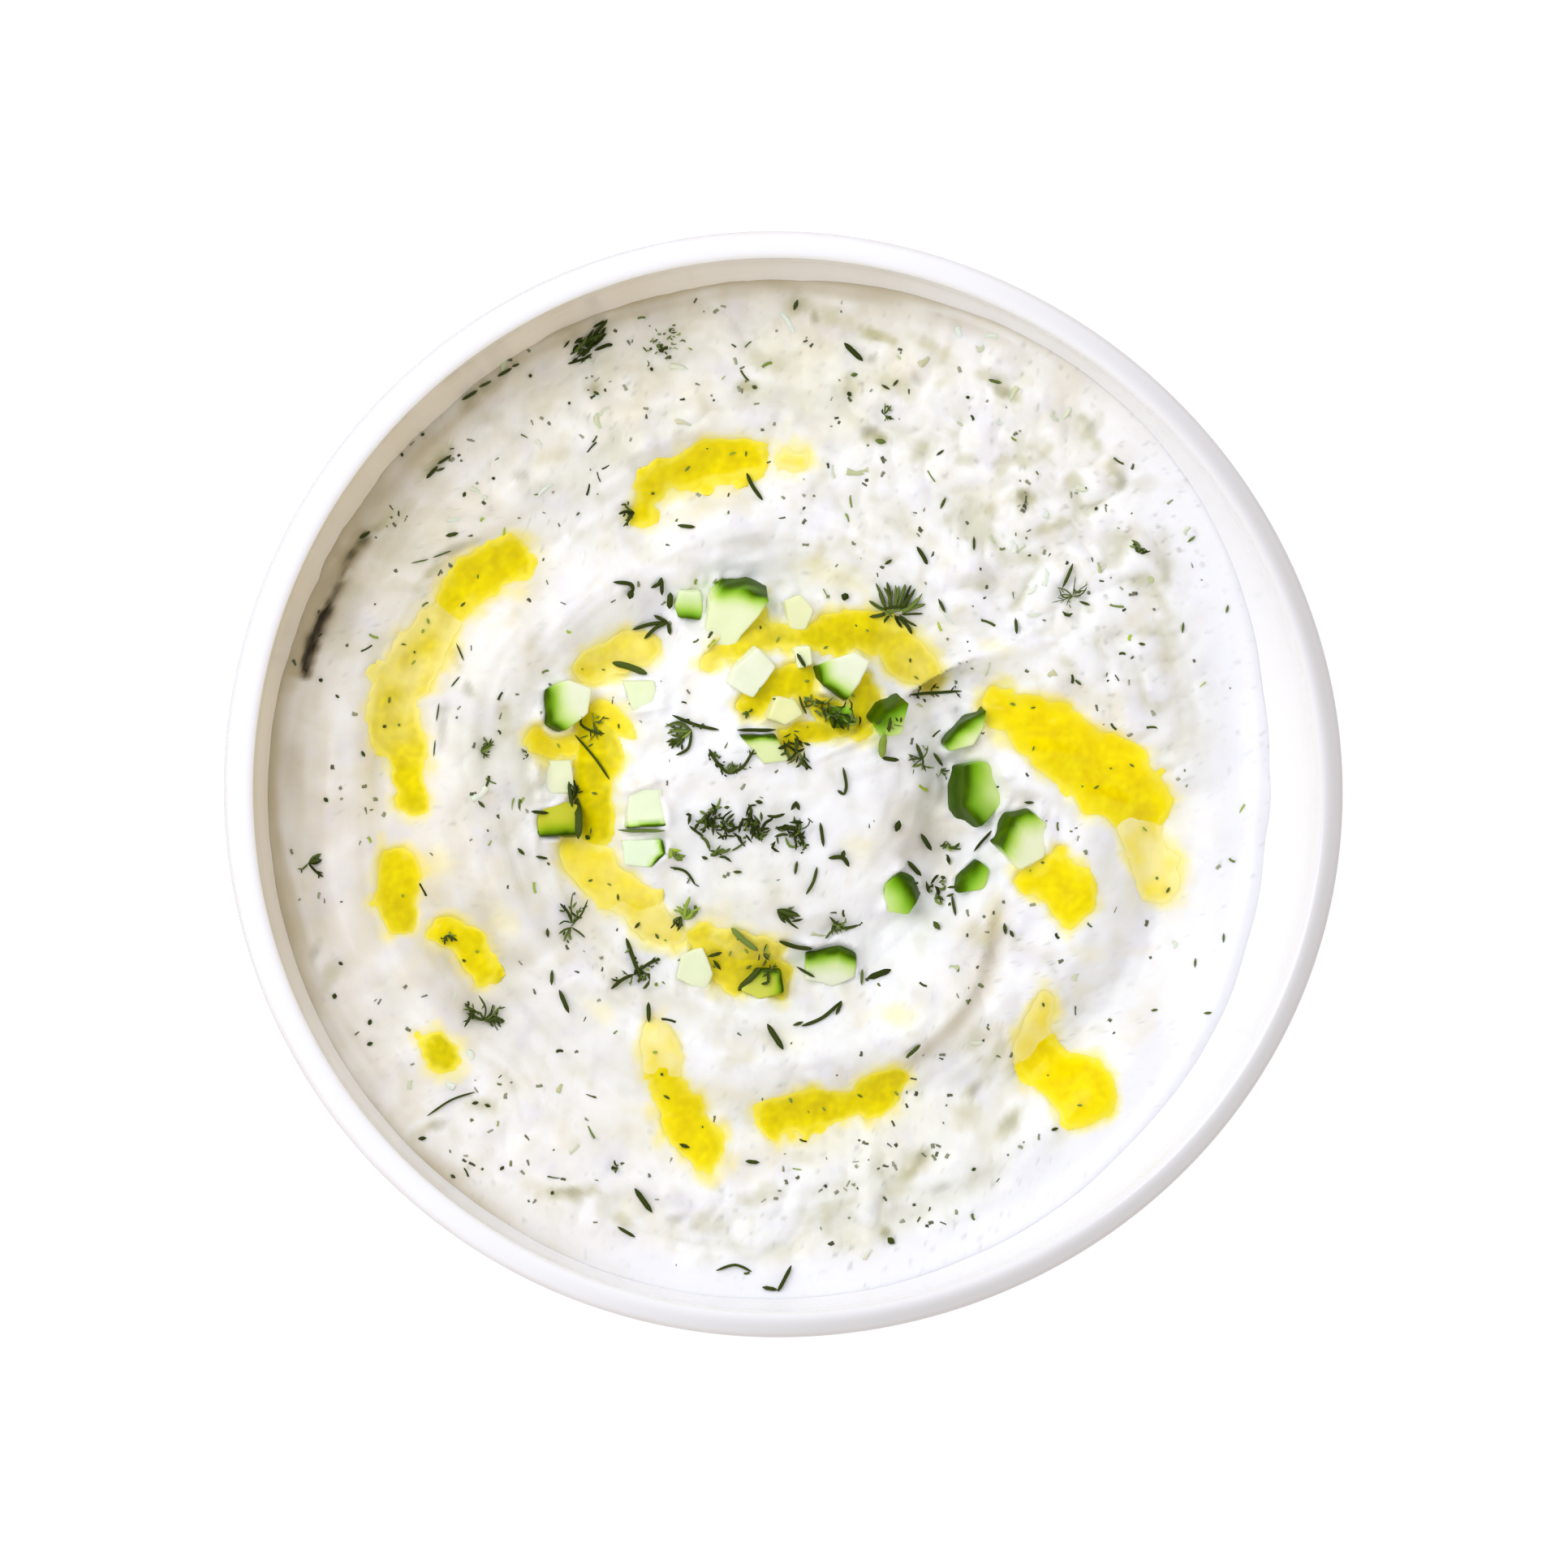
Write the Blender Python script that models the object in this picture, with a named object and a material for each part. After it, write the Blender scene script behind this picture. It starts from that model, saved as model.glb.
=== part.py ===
"""Tzatziki in the bowl it is served in.

A hand-thrown, white-glazed stoneware bowl stands on its foot ring. The dip fills it to about two thirds
of its depth and has been spread with the back of a spoon: a low mound in the middle, a moat round the
mound, and a groove that leaves the moat and winds once round the bowl. Cucumber cubes sit in pockets of
the dip, most of them in the moat. Olive oil lies in the moat and in the groove as thin pools.

The bowl's axis is Z, the table is z = 0, and every length below is in metres.
"""

import math

import bmesh
import bpy
from mathutils import Euler, Matrix, Vector
from mathutils.bvhtree import BVHTree

for old in list(bpy.data.objects):
    bpy.data.objects.remove(old, do_unlink=True)

MM = 0.001
GAP = 0.3 * MM  # clearance kept between neighbouring pieces
SHORTEST = 1 * MM  # no facet of the turned shapes is shorter than this

# Bowl
BOWL_RADIUS = 80 * MM  # mean radius over the rim
BOWL_HEIGHT = 52 * MM
RIM_THICKNESS = 3.8 * MM
FOOT_RADIUS = 41 * MM
FOOT_WIDTH = 5 * MM
FOOT_RECESS = 2.5 * MM  # depth of the hollow inside the foot ring
FOOT_CHAMFER = 0.8 * MM
FOOT_FLARE = 0.4 * MM  # the ring is this much wider where it meets the wall
FLOOR_TOP = 7.5 * MM  # height of the inside floor over the table
WALL_FULLNESS = 2.4  # exponent of the wall's curve: 2 is an ellipse, more is squarer
OVAL = 0.010  # how far the rim is pulled out of round, as a share of its radius
OVAL_ANGLE = -17  # degrees, long axis of the oval
LOBES = 0.005  # a weaker three-lobed warp on top of the oval
LOBES_ANGLE = -15
SECTORS = 60  # facets round the bowl and round the dip
WALL_STEPS = 9
LIP_STEPS = 6

# Dip
LEVEL = 34 * MM  # mean height of the spread surface over the table
EDGE_HEIGHTS = (30, 36, 32, 30, 32, 36, 38, 34)  # mm, where the dip meets the wall, every 45 degrees
EDGE_START = 0.72  # share of the radius from which the surface leaves its level for the edge height
MOUND_CENTRE = (-1 * MM, -1 * MM)
MOUND_RISE = 2.6 * MM
MOUND_RADIUS = 15 * MM
MOAT_RADIUS = 28.5 * MM
MOAT_DEPTH = 5.0 * MM
MOAT_WIDTH = 6.0 * MM
RIDGE_RISE = 1.6 * MM  # the dip pushed up on both sides of the groove
RIDGE_OFFSET = 9.7 * MM  # from the groove's middle line to the top of either ridge
GROOVE_DEPTH = 4.2 * MM
GROOVE_WIDTH = 4.6 * MM
# The groove's middle line, as (degrees, mm from the axis), wound out from the moat and round to the back.
GROOVE_LINE = (
    (390, 29),
    (379, 35),
    (371, 41),
    (363, 49),
    (354, 57),
    (335, 60),
    (315, 57.5),
    (290, 49.5),
    (265, 50),
    (240, 50),
    (210, 50.5),
    (195, 54.5),
    (170, 54.5),
    (150, 52),
    (138, 48),
    (115, 42),
    (98, 45.5),
    (80, 46),
)
GROOVE_FADE = 22  # degrees over which the groove dies out at its far end
HEADING_STEP = 4  # degrees ahead and behind, between which the groove's heading is read
# Lumps and hollows left by the spoon: (degrees, mm from the axis, rise, width), a hollow with a minus sign.
LUMPS = (
    (50, 56, 1.6, 6.5),
    (33, 60, 1.2, 5.5),
    (66, 60, 1.3, 6.0),
    (45, 41, 1.4, 6.0),
    (66, 39, 1.0, 5.0),
    (-51, 43, 1.2, 5.0),
    (-130, 14, -1.4, 4.0),
    (165, 11, 0.9, 5.0),
    (22, 11, 0.9, 4.5),
    (-60, 62, 0.9, 7.0),
    (-120, 62, 0.8, 7.0),
)
DIP_RINGS = 20

# Cucumber cubes
CUBE_HEIGHT = 6.4 * MM
SKIN_RADIUS = 13 * MM  # curve of the green side, cut from the round of the cucumber
CUBE_CHAMFER = 0.5 * MM
CUBE_SHOW = 3.4 * MM  # how far a cube stands out of the dip
SKIN_STEPS = 4
# (degrees, mm from the axis, width, depth, skin faces this way in degrees, tip in degrees, taper)
CUBES = (
    (101, 24.2, 7.4, 7.8, 75, 14, 0.6),
    (114, 27.9, 4.6, 5.0, 254, -8, 0.9),
    (105, 15.2, 7.6, 4.6, 126, 6, 0.9),
    (79, 24.0, 5.8, 5.6, 30, -8, 0.9),
    (55, 18.2, 7.0, 5.6, 250, 12, 0.85),
    (75, 18.4, 3.4, 3.6, 120, 0, 1.0),
    (80, 10.8, 5.2, 4.4, 200, 8, 0.9),
    (104, 4.2, 6.0, 4.2, 165, 10, 0.8),
    (27, 20.2, 5.4, 5.2, 135, 34, 0.9),
    (42, 13.0, 3.4, 3.8, 240, 20, 1.0),
    (13, 30.8, 8.0, 4.4, 131, 14, 0.3),
    (-5, 31.6, 6.4, 6.2, 200, 24, 0.95),
    (-15, 38.9, 6.6, 6.0, 145, 18, 0.9),
    (-26, 34.0, 6.4, 4.6, 145, 20, 0.5),
    (-39, 26.3, 5.0, 6.6, 70, 46, 0.9),
    (-69, 29.0, 7.4, 6.4, 100, 22, 0.9),
    (-92, 29.6, 6.0, 5.4, 30, 6, 0.9),
    (-113, 29.5, 6.4, 6.2, 300, -6, 0.85),
    (159, 31.6, 7.2, 6.8, 205, 16, 0.8),
    (146, 22.2, 6.0, 5.0, 60, 4, 0.9),
    (179, 30.8, 6.4, 5.8, 170, 0, 0.95),
    (-167, 30.6, 5.0, 4.6, 250, 12, 0.9),
    (-171, 17.8, 6.8, 7.0, 268, 6, 0.9),
    (-152, 21.2, 5.8, 4.0, 100, 8, 0.9),
)

# Oil pools
POOL_GAP = 0.45 * MM  # clearance between a pool's corners and the dip
POOL_EDGE = 0.35 * MM  # thickness at a pool's rim
POOL_DEPTH = 1.2 * MM  # thickness at the middle of a pool
POOL_STEP = 4.0 * MM  # distance between cross-sections along a pool
POOL_TIP = 0.7  # length of a pool's pointed end, as a share of its half width there
CLEAR_SAMPLES = 6  # a pool's underside is tested against the dip at this many steps along a triangle
# Each pool is a stroke: (degrees, mm from the axis, half width in mm) along its middle line.
POOLS = {
    "oil_back": ((115, 42.8, 1.1), (110, 45.7, 1.9), (103, 46.6, 2.1), (97, 46.7, 2.6), (93, 46.4, 2.2)),
    "oil_back_drop": ((87, 46.3, 1.2), (84, 46.2, 1.3)),
    "oil_back_left": ((150, 52.3, 2.3), (144, 51.2, 3.2), (139, 49.4, 2.9)),
    "oil_left": (
        (154, 52.9, 2.2), (160, 53.9, 3.4), (166, 55.2, 3.2),
        (171, 54.5, 2.8), (176, 52.7, 2.2), (183, 51.9, 1.5),
    ),
    "oil_left_drop": ((193, 54.8, 2.3), (197, 56.1, 3.1), (200, 56.7, 2.2)),
    "oil_front_left": ((205, 51.4, 1.6), (209, 50, 2.1), (214, 49.3, 1.5)),
    "oil_front_left_drop": ((218, 61.4, 1.7), (220, 61.3, 2)),
    "oil_front": ((250, 44.8, 1.5), (254, 48.5, 2.2), (257, 52, 3.2), (260, 53.7, 3)),
    "oil_front_right": ((272, 49, 2.2), (277, 48.4, 2.5), (284, 48.6, 1.8), (289, 48.5, 2.6), (293, 47.3, 1.6)),
    "oil_right_front": ((316, 54.3, 1.8), (314, 60.4, 2.8), (315, 64.3, 4.6)),
    "oil_ridge": ((338, 40.4, 1.6), (341, 43.9, 3.2), (338, 47.6, 2.5)),
    "oil_right": ((18, 35, 1.6), (11, 39.3, 3.4), (4, 44.9, 5), (-1, 50.4, 5.2), (-4, 54.9, 3.8)),
    "oil_moat_back_left": ((147, 30.6, 1.7), (141, 28.6, 2.2), (134, 26.0, 1.8)),
    "oil_moat_left": ((163, 26.3, 2.6), (172, 24.9, 2.8), (182, 25.2, 2.4), (195, 26.4, 2.2)),
    "oil_moat_front_left": ((201, 29.6, 2.4), (211, 27.5, 2.5), (224, 25.9, 2.3)),
    "oil_moat_back": ((68, 23.0, 1.8), (54, 25.6, 2.6), (41, 26.8, 2.6), (30, 28.2, 1.4)),
    "oil_moat_front": ((250, 24.8, 1.5), (262, 25.0, 1.9), (272, 25.4, 1.5)),
}


def smooth_step(value):
    """0 below 0, 1 above 1, and a smooth rise between them."""
    value = min(max(value, 0.0), 1.0)
    return value * value * (3 - 2 * value)


def bell(distance, width):
    return math.exp(-((distance / width) ** 2))


def smooth_list(values, position):
    """A smooth curve through a list of values, read at a position between its entries."""
    last = len(values) - 1
    start = min(max(int(math.floor(position)), 0), last - 1)
    t = position - start
    before, a, b, after = (values[min(max(start + k, 0), last)] for k in (-1, 0, 1, 2))
    return 0.5 * (
        2 * a
        + (b - before) * t
        + (2 * before - 5 * a + 4 * b - after) * t * t
        + (3 * a - before - 3 * b + after) * t * t * t
    )


def polar(degrees, radius):
    angle = math.radians(degrees)
    return Vector((radius * math.cos(angle), radius * math.sin(angle)))


# ---------------------------------------------------------------- materials


def material(name, colour, roughness, transmission=0.0):
    made = bpy.data.materials.new(name)
    made.use_nodes = True
    shader = made.node_tree.nodes["Principled BSDF"]
    shader.inputs["Base Color"].default_value = (*colour, 1.0)
    shader.inputs["Roughness"].default_value = roughness
    shader.inputs["Metallic"].default_value = 0.0
    shader.inputs["Transmission Weight"].default_value = transmission
    made.diffuse_color = (*colour, 1.0)
    return made


GLAZE = material("white_glaze", (0.86, 0.86, 0.86), 0.18)
YOGURT = material("strained_yogurt", (0.88, 0.87, 0.83), 0.42)
CUCUMBER = material("cucumber", (0.42, 0.60, 0.16), 0.30)
OIL = material("olive_oil", (0.85, 0.68, 0.01), 0.06)


def add_object(name, bm, look):
    """Makes the named object from a finished bmesh, shaded smooth between its sharp edges."""
    bmesh.ops.recalc_face_normals(bm, faces=bm.faces)
    if bm.calc_volume(signed=True) < 0:
        bmesh.ops.reverse_faces(bm, faces=bm.faces)
    mesh = bpy.data.meshes.new(name)
    bm.to_mesh(mesh)
    bm.free()
    mesh.materials.append(look)
    mesh.shade_smooth()
    mesh.set_sharp_from_angle(angle=math.radians(40))
    made = bpy.data.objects.new(name, mesh)
    bpy.context.collection.objects.link(made)
    return made


# ---------------------------------------------------------------- bowl


def rim_factor(angle):
    """How far the rim stands out at this angle, against a true circle."""
    oval = OVAL * math.cos(2 * (angle - math.radians(OVAL_ANGLE)))
    lobes = LOBES * math.cos(3 * (angle - math.radians(LOBES_ANGLE)))
    return 1 + oval + lobes


def warp(angle, height):
    """The rim's warp fades down to the foot ring, which stays round."""
    return 1 + (rim_factor(angle) - 1) * height / BOWL_HEIGHT


def wall_curve(radius, bottom, top):
    """(radius, height) down a bowl wall, from its upright top to the middle of its floor."""
    points = []
    for step in range(WALL_STEPS + 1):
        turn = math.pi / 2 * step / WALL_STEPS
        across = math.cos(turn) ** (2 / WALL_FULLNESS)
        down = math.sin(turn) ** (2 / WALL_FULLNESS)
        points.append((radius * across, top - (top - bottom) * down))
    points[-1] = (0.0, bottom)
    return points


def height_on(curve, radius):
    """Height of a wall curve at a radius, along its straight facets."""
    for (r0, z0), (r1, z1) in zip(curve, curve[1:]):
        if r1 <= radius <= r0:
            return z0 + (z1 - z0) * (r0 - radius) / (r0 - r1)
    return curve[0][1]


def radius_on(curve, height):
    """Radius of a wall curve at a height, along its straight facets."""
    for (r0, z0), (r1, z1) in zip(curve, curve[1:]):
        if z1 <= height <= z0:
            return r0 + (r1 - r0) * (z0 - height) / (z0 - z1)
    return curve[0][0]


LIP_RADIUS = RIM_THICKNESS / 2
LIP_CENTRE = (BOWL_RADIUS - LIP_RADIUS, BOWL_HEIGHT - LIP_RADIUS)
INNER_CURVE = wall_curve(BOWL_RADIUS - RIM_THICKNESS, FLOOR_TOP, LIP_CENTRE[1])
OUTER_CURVE = wall_curve(BOWL_RADIUS, FOOT_RECESS, LIP_CENTRE[1])


def bowl_profile():
    """The wall's closed section: inside floor, inner wall, lip, outer wall, foot ring, recess."""
    profile = list(reversed(INNER_CURVE))
    for step in range(1, LIP_STEPS):
        turn = math.pi * (1 - step / LIP_STEPS)
        across = LIP_RADIUS * math.cos(turn)
        profile.append((LIP_CENTRE[0] + across, LIP_CENTRE[1] + LIP_RADIUS * math.sin(turn)))
    foot_top = height_on(OUTER_CURVE, FOOT_RADIUS)
    profile += [(r, z) for r, z in OUTER_CURVE if z > foot_top + SHORTEST]
    profile.append((FOOT_RADIUS + FOOT_FLARE, foot_top))
    profile.append((FOOT_RADIUS, FOOT_CHAMFER))
    profile.append((FOOT_RADIUS - FOOT_CHAMFER, 0.0))
    profile.append((FOOT_RADIUS - FOOT_WIDTH, 0.0))
    profile.append((FOOT_RADIUS - FOOT_WIDTH - FOOT_CHAMFER, FOOT_RECESS))
    profile.append((0.0, FOOT_RECESS))
    return profile


def make_bowl():
    bm = bmesh.new()
    section = [bm.verts.new((radius, 0.0, height)) for radius, height in bowl_profile()]
    edges = [bm.edges.new(pair) for pair in zip(section, section[1:])]
    bmesh.ops.spin(
        bm,
        geom=section + edges,
        cent=(0, 0, 0),
        axis=(0, 0, 1),
        angle=math.tau,
        steps=SECTORS,
        use_merge=True,
    )
    bmesh.ops.remove_doubles(bm, verts=bm.verts, dist=GAP / 10)
    for vert in bm.verts:
        factor = warp(math.atan2(vert.co.y, vert.co.x), vert.co.z)
        vert.co.x *= factor
        vert.co.y *= factor
    return add_object("bowl", bm, GLAZE)


# ---------------------------------------------------------------- dip


def edge_height(angle):
    """Height at which the dip meets the wall, smooth through the values given every 45 degrees."""
    position = (angle / math.tau % 1) * len(EDGE_HEIGHTS)
    around = EDGE_HEIGHTS[-2:] + EDGE_HEIGHTS + EDGE_HEIGHTS[:3]
    return smooth_list(around, position + 2) * MM


def inner_radius(angle, height):
    """The dip's own outside, a gap clear of the bowl's inner wall."""
    return radius_on(INNER_CURVE, height) * warp(angle, height) - GAP


def groove_radius(degrees):
    """Radius of the groove's middle line, along the straight runs between its points."""
    for (a0, r0), (a1, r1) in zip(GROOVE_LINE, GROOVE_LINE[1:]):
        if a1 <= degrees <= a0:
            share = smooth_step((a0 - degrees) / (a0 - a1))
            return (r0 + (r1 - r0) * share) * MM
    return None


def groove_offset(angle, radius):
    """(distance from the groove's middle line, how open the groove is there)."""
    turn = math.degrees(angle) % 360
    first, last = GROOVE_LINE[-1][0], GROOVE_LINE[0][0]
    best = (BOWL_RADIUS, 0.0)
    for degrees in (turn, turn + 360):
        middle = groove_radius(degrees)
        if middle is None:
            continue
        ahead = groove_radius(min(degrees + HEADING_STEP, last))
        behind = groove_radius(max(degrees - HEADING_STEP, first))
        slope = (ahead - behind) / (math.radians(2 * HEADING_STEP) * middle)
        distance = (radius - middle) / math.hypot(1, slope)
        open_share = smooth_step((degrees - first) / GROOVE_FADE)
        if abs(distance) < abs(best[0]):
            best = (distance, open_share)
    return best


def dip_height(x, y):
    """Height of the spread surface."""
    angle = math.atan2(y, x)
    radius = math.hypot(x, y)
    edge = edge_height(angle)
    outside = inner_radius(angle, edge)
    from_mound = math.hypot(x - MOUND_CENTRE[0], y - MOUND_CENTRE[1])
    height = LEVEL + (edge - LEVEL) * smooth_step((radius / outside - EDGE_START) / (1 - EDGE_START))
    height += MOUND_RISE * bell(from_mound, MOUND_RADIUS)
    height -= MOAT_DEPTH * bell(from_mound - MOAT_RADIUS, MOAT_WIDTH)
    distance, open_share = groove_offset(angle, radius)
    height -= GROOVE_DEPTH * open_share * bell(distance, GROOVE_WIDTH)
    for side in (-1, 1):
        height += RIDGE_RISE * open_share * bell(distance - side * RIDGE_OFFSET, GROOVE_WIDTH)
    for degrees, lump_radius, rise, width in LUMPS:
        away = (Vector((x, y)) - polar(degrees, lump_radius * MM)).length
        height += rise * MM * bell(away, width * MM)
    return height


def make_dip():
    """One closed body: the spread surface on top, and below it the bowl's inside, a gap smaller."""
    bm = bmesh.new()
    angles = [math.tau * sector / SECTORS for sector in range(SECTORS)]
    rings = []
    for ring in range(1, DIP_RINGS + 1):
        loop = []
        for angle in angles:
            radius = inner_radius(angle, edge_height(angle)) * ring / DIP_RINGS
            x, y = radius * math.cos(angle), radius * math.sin(angle)
            loop.append(bm.verts.new((x, y, dip_height(x, y))))
        rings.append(loop)
    deepest_edge = min(edge_height(angle) for angle in angles)
    for wall_radius, height in INNER_CURVE[:-1]:
        if height > deepest_edge - SHORTEST:
            continue
        loop = []
        for angle in angles:
            radius = wall_radius * warp(angle, height) - GAP
            place = (radius * math.cos(angle), radius * math.sin(angle), height + GAP)
            loop.append(bm.verts.new(place))
        rings.append(loop)
    top = bm.verts.new((0, 0, dip_height(0, 0)))
    bottom = bm.verts.new((0, 0, FLOOR_TOP + GAP))
    for sector in range(SECTORS):
        after = (sector + 1) % SECTORS
        bm.faces.new((top, rings[0][sector], rings[0][after]))
        bm.faces.new((bottom, rings[-1][after], rings[-1][sector]))
        for upper, lower in zip(rings, rings[1:]):
            bm.faces.new((upper[sector], lower[sector], lower[after], upper[after]))
    bmesh.ops.triangulate(bm, faces=bm.faces)
    return add_object("dip", bm, YOGURT)


# ---------------------------------------------------------------- cucumber cubes


def cube_mesh(width, depth, height, taper, chamfer):
    """A cut cube with a curved skin side at +Y; its back is narrower where the cut was slanted."""
    bulge = SKIN_RADIUS - math.sqrt(SKIN_RADIUS**2 - (width / 2) ** 2)
    outline = [(-width * taper / 2, -depth / 2), (width * taper / 2, -depth / 2)]
    for step in range(SKIN_STEPS + 1):
        across = width * (0.5 - step / SKIN_STEPS)
        drop = SKIN_RADIUS - math.sqrt(SKIN_RADIUS**2 - across**2)
        outline.append((across, depth / 2 + bulge - drop - bulge / 2))
    bm = bmesh.new()
    base = bm.faces.new([bm.verts.new((x, y, -height / 2)) for x, y in outline])
    walls = bmesh.ops.extrude_face_region(bm, geom=[base])["geom"]
    upper = [item for item in walls if isinstance(item, bmesh.types.BMVert)]
    bmesh.ops.translate(bm, vec=(0, 0, height), verts=upper)
    bmesh.ops.recalc_face_normals(bm, faces=bm.faces)
    if chamfer:
        rim = [edge for edge in bm.edges if all(vert.co.z > 0 for vert in edge.verts)]
        bmesh.ops.bevel(bm, geom=rim, offset=chamfer, segments=1, affect="EDGES")
    return bm


def cube_place(row):
    """Where a cube lies: its foot sunk in the dip, its skin side turned and tipped up."""
    degrees, radius, _, _, facing, tip, _ = row
    x, y = polar(degrees, radius * MM)
    height = dip_height(x, y) + CUBE_SHOW - CUBE_HEIGHT / 2
    turn = Euler((0, 0, math.radians(facing - 90))).to_matrix().to_4x4()
    lean = Matrix.Rotation(math.radians(tip), 4, "X")
    return Matrix.Translation((x, y, height)) @ turn @ lean


def make_cubes():
    """Makes the cubes, and returns the slightly larger shapes that their pockets are cut with."""
    cutters = []
    for number, row in enumerate(CUBES, start=1):
        width, depth, taper = row[2] * MM, row[3] * MM, row[6]
        place = cube_place(row)
        bm = cube_mesh(width, depth, CUBE_HEIGHT, taper, CUBE_CHAMFER)
        bm.transform(place)
        add_object(f"cucumber_{number:02d}", bm, CUCUMBER)
        bm = cube_mesh(width + 2 * GAP, depth + 2 * GAP, CUBE_HEIGHT + 2 * GAP, taper, 0)
        bm.transform(place)
        cutter = add_object(f"pocket_{number:02d}", bm, CUCUMBER)
        cutter.hide_render = True
        cutter.display_type = "WIRE"
        cutters.append(cutter)
    return cutters


def box_of(thing):
    points = [vert.co for vert in thing.data.vertices]
    low = [min(point[axis] for point in points) for axis in range(3)]
    high = [max(point[axis] for point in points) for axis in range(3)]
    return low, high


def boxes_meet(one, other):
    (low_a, high_a), (low_b, high_b) = one, other
    return all(low_a[axis] < high_b[axis] and low_b[axis] < high_a[axis] for axis in range(3))


def cut(piece, cutters):
    """Cuts the piece round each of the cutters that reaches it."""
    piece_box = box_of(piece)
    for cutter in cutters:
        if not boxes_meet(piece_box, box_of(cutter)):
            continue
        modifier = piece.modifiers.new(cutter.name, "BOOLEAN")
        modifier.operation = "DIFFERENCE"
        modifier.solver = "EXACT"
        modifier.object = cutter


# ---------------------------------------------------------------- oil


def stroke_sections(stroke):
    """(middle, half width, direction) along a pool's middle line, at even steps."""
    places = [polar(degrees, radius * MM) for degrees, radius, _ in stroke]
    length = sum((b - a).length for a, b in zip(places, places[1:]))
    steps = max(2, round(length / POOL_STEP))
    xs, ys = [place.x for place in places], [place.y for place in places]
    halves = [half * MM for _, _, half in stroke]
    last = len(stroke) - 1
    sections = []
    for step in range(steps + 1):
        position = last * step / steps
        middle = Vector((smooth_list(xs, position), smooth_list(ys, position)))
        sections.append((middle, smooth_list(halves, position)))
    points = [middle for middle, _ in sections]
    ahead = points[1:] + [points[-1]]
    behind = [points[0]] + points[:-1]
    ways = [(a - b).normalized() for a, b in zip(ahead, behind)]
    return [(middle, half, way) for (middle, half), way in zip(sections, ways)]


def ground_under(surface, place):
    return surface.ray_cast(Vector((place.x, place.y, BOWL_HEIGHT)), Vector((0, 0, -1)))[0].z


def lift_clear(columns, underside, surface):
    """Lifts the columns of each underside triangle that would come nearer to the dip than the gap."""
    steps = range(CLEAR_SAMPLES + 1)
    shares = [(a / CLEAR_SAMPLES, b / CLEAR_SAMPLES) for a in steps for b in steps if a + b <= CLEAR_SAMPLES]
    for corners in underside:
        lows = [columns[corner][0].co for corner in corners]
        short = 0.0
        for a, b in shares:
            point = lows[0] + (lows[1] - lows[0]) * a + (lows[2] - lows[0]) * b
            short = max(short, ground_under(surface, point) + GAP - point.z)
        for corner in corners:
            for vert in columns[corner]:
                vert.co.z += short


def make_pool(name, stroke, surface):
    """A thin lens of oil: its underside follows the dip, its top stands highest along the middle."""
    bm = bmesh.new()
    sections = stroke_sections(stroke)
    first_middle, first_half, first_way = sections[0]
    last_middle, last_half, last_way = sections[-1]
    columns = []

    def add_column(place, share):
        ground = ground_under(surface, place) + POOL_GAP
        thick = POOL_EDGE + (POOL_DEPTH - POOL_EDGE) * share
        low = bm.verts.new((place.x, place.y, ground))
        high = bm.verts.new((place.x, place.y, ground + thick))
        columns.append((low, high))

    for middle, half, way in sections:
        side = Vector((-way.y, way.x))
        for across in (-1, 0, 1):
            add_column(middle + side * half * across, 1 - abs(across))
    add_column(first_middle - first_way * first_half * POOL_TIP, 0)
    add_column(last_middle + last_way * last_half * POOL_TIP, 0)
    start_tip, end_tip = len(columns) - 2, len(columns) - 1
    triangles = []
    for row in range(0, start_tip - 3, 3):
        for a in (row, row + 1):
            triangles += [(a, a + 1, a + 4), (a, a + 4, a + 3)]
    triangles += [(1, 0, start_tip), (2, 1, start_tip)]
    triangles += [(start_tip - 3, start_tip - 2, end_tip), (start_tip - 2, start_tip - 1, end_tip)]
    lift_clear(columns, triangles, surface)
    for a, b, c in triangles:
        bm.faces.new((columns[a][1], columns[b][1], columns[c][1]))
        bm.faces.new((columns[a][0], columns[c][0], columns[b][0]))
    lefts = list(range(0, start_tip, 3))
    rights = list(range(2, start_tip, 3))
    outline = lefts + [end_tip] + rights[::-1] + [start_tip]
    for a, b in zip(outline, outline[1:] + outline[:1]):
        bm.faces.new((columns[a][0], columns[b][0], columns[b][1], columns[a][1]))
    bmesh.ops.triangulate(bm, faces=bm.faces)
    return add_object(name, bm, OIL)


def surface_of(thing):
    mesh = thing.data
    points = [vert.co for vert in mesh.vertices]
    return BVHTree.FromPolygons(points, [tuple(face.vertices) for face in mesh.polygons])


make_bowl()
dip = make_dip()
dip_surface = surface_of(dip)
pocket_cutters = make_cubes()
for pool_name, pool_stroke in POOLS.items():
    cut(make_pool(pool_name, pool_stroke, dip_surface), pocket_cutters)
cut(dip, pocket_cutters)
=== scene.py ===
"""Looks of a bowl of tzatziki: glazed bowl, spread dip, olive oil, cut cucumber and dill."""

import math

import bmesh
import bpy
import numpy as np
from mathutils import Matrix, Vector
from mathutils.bvhtree import BVHTree


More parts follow.
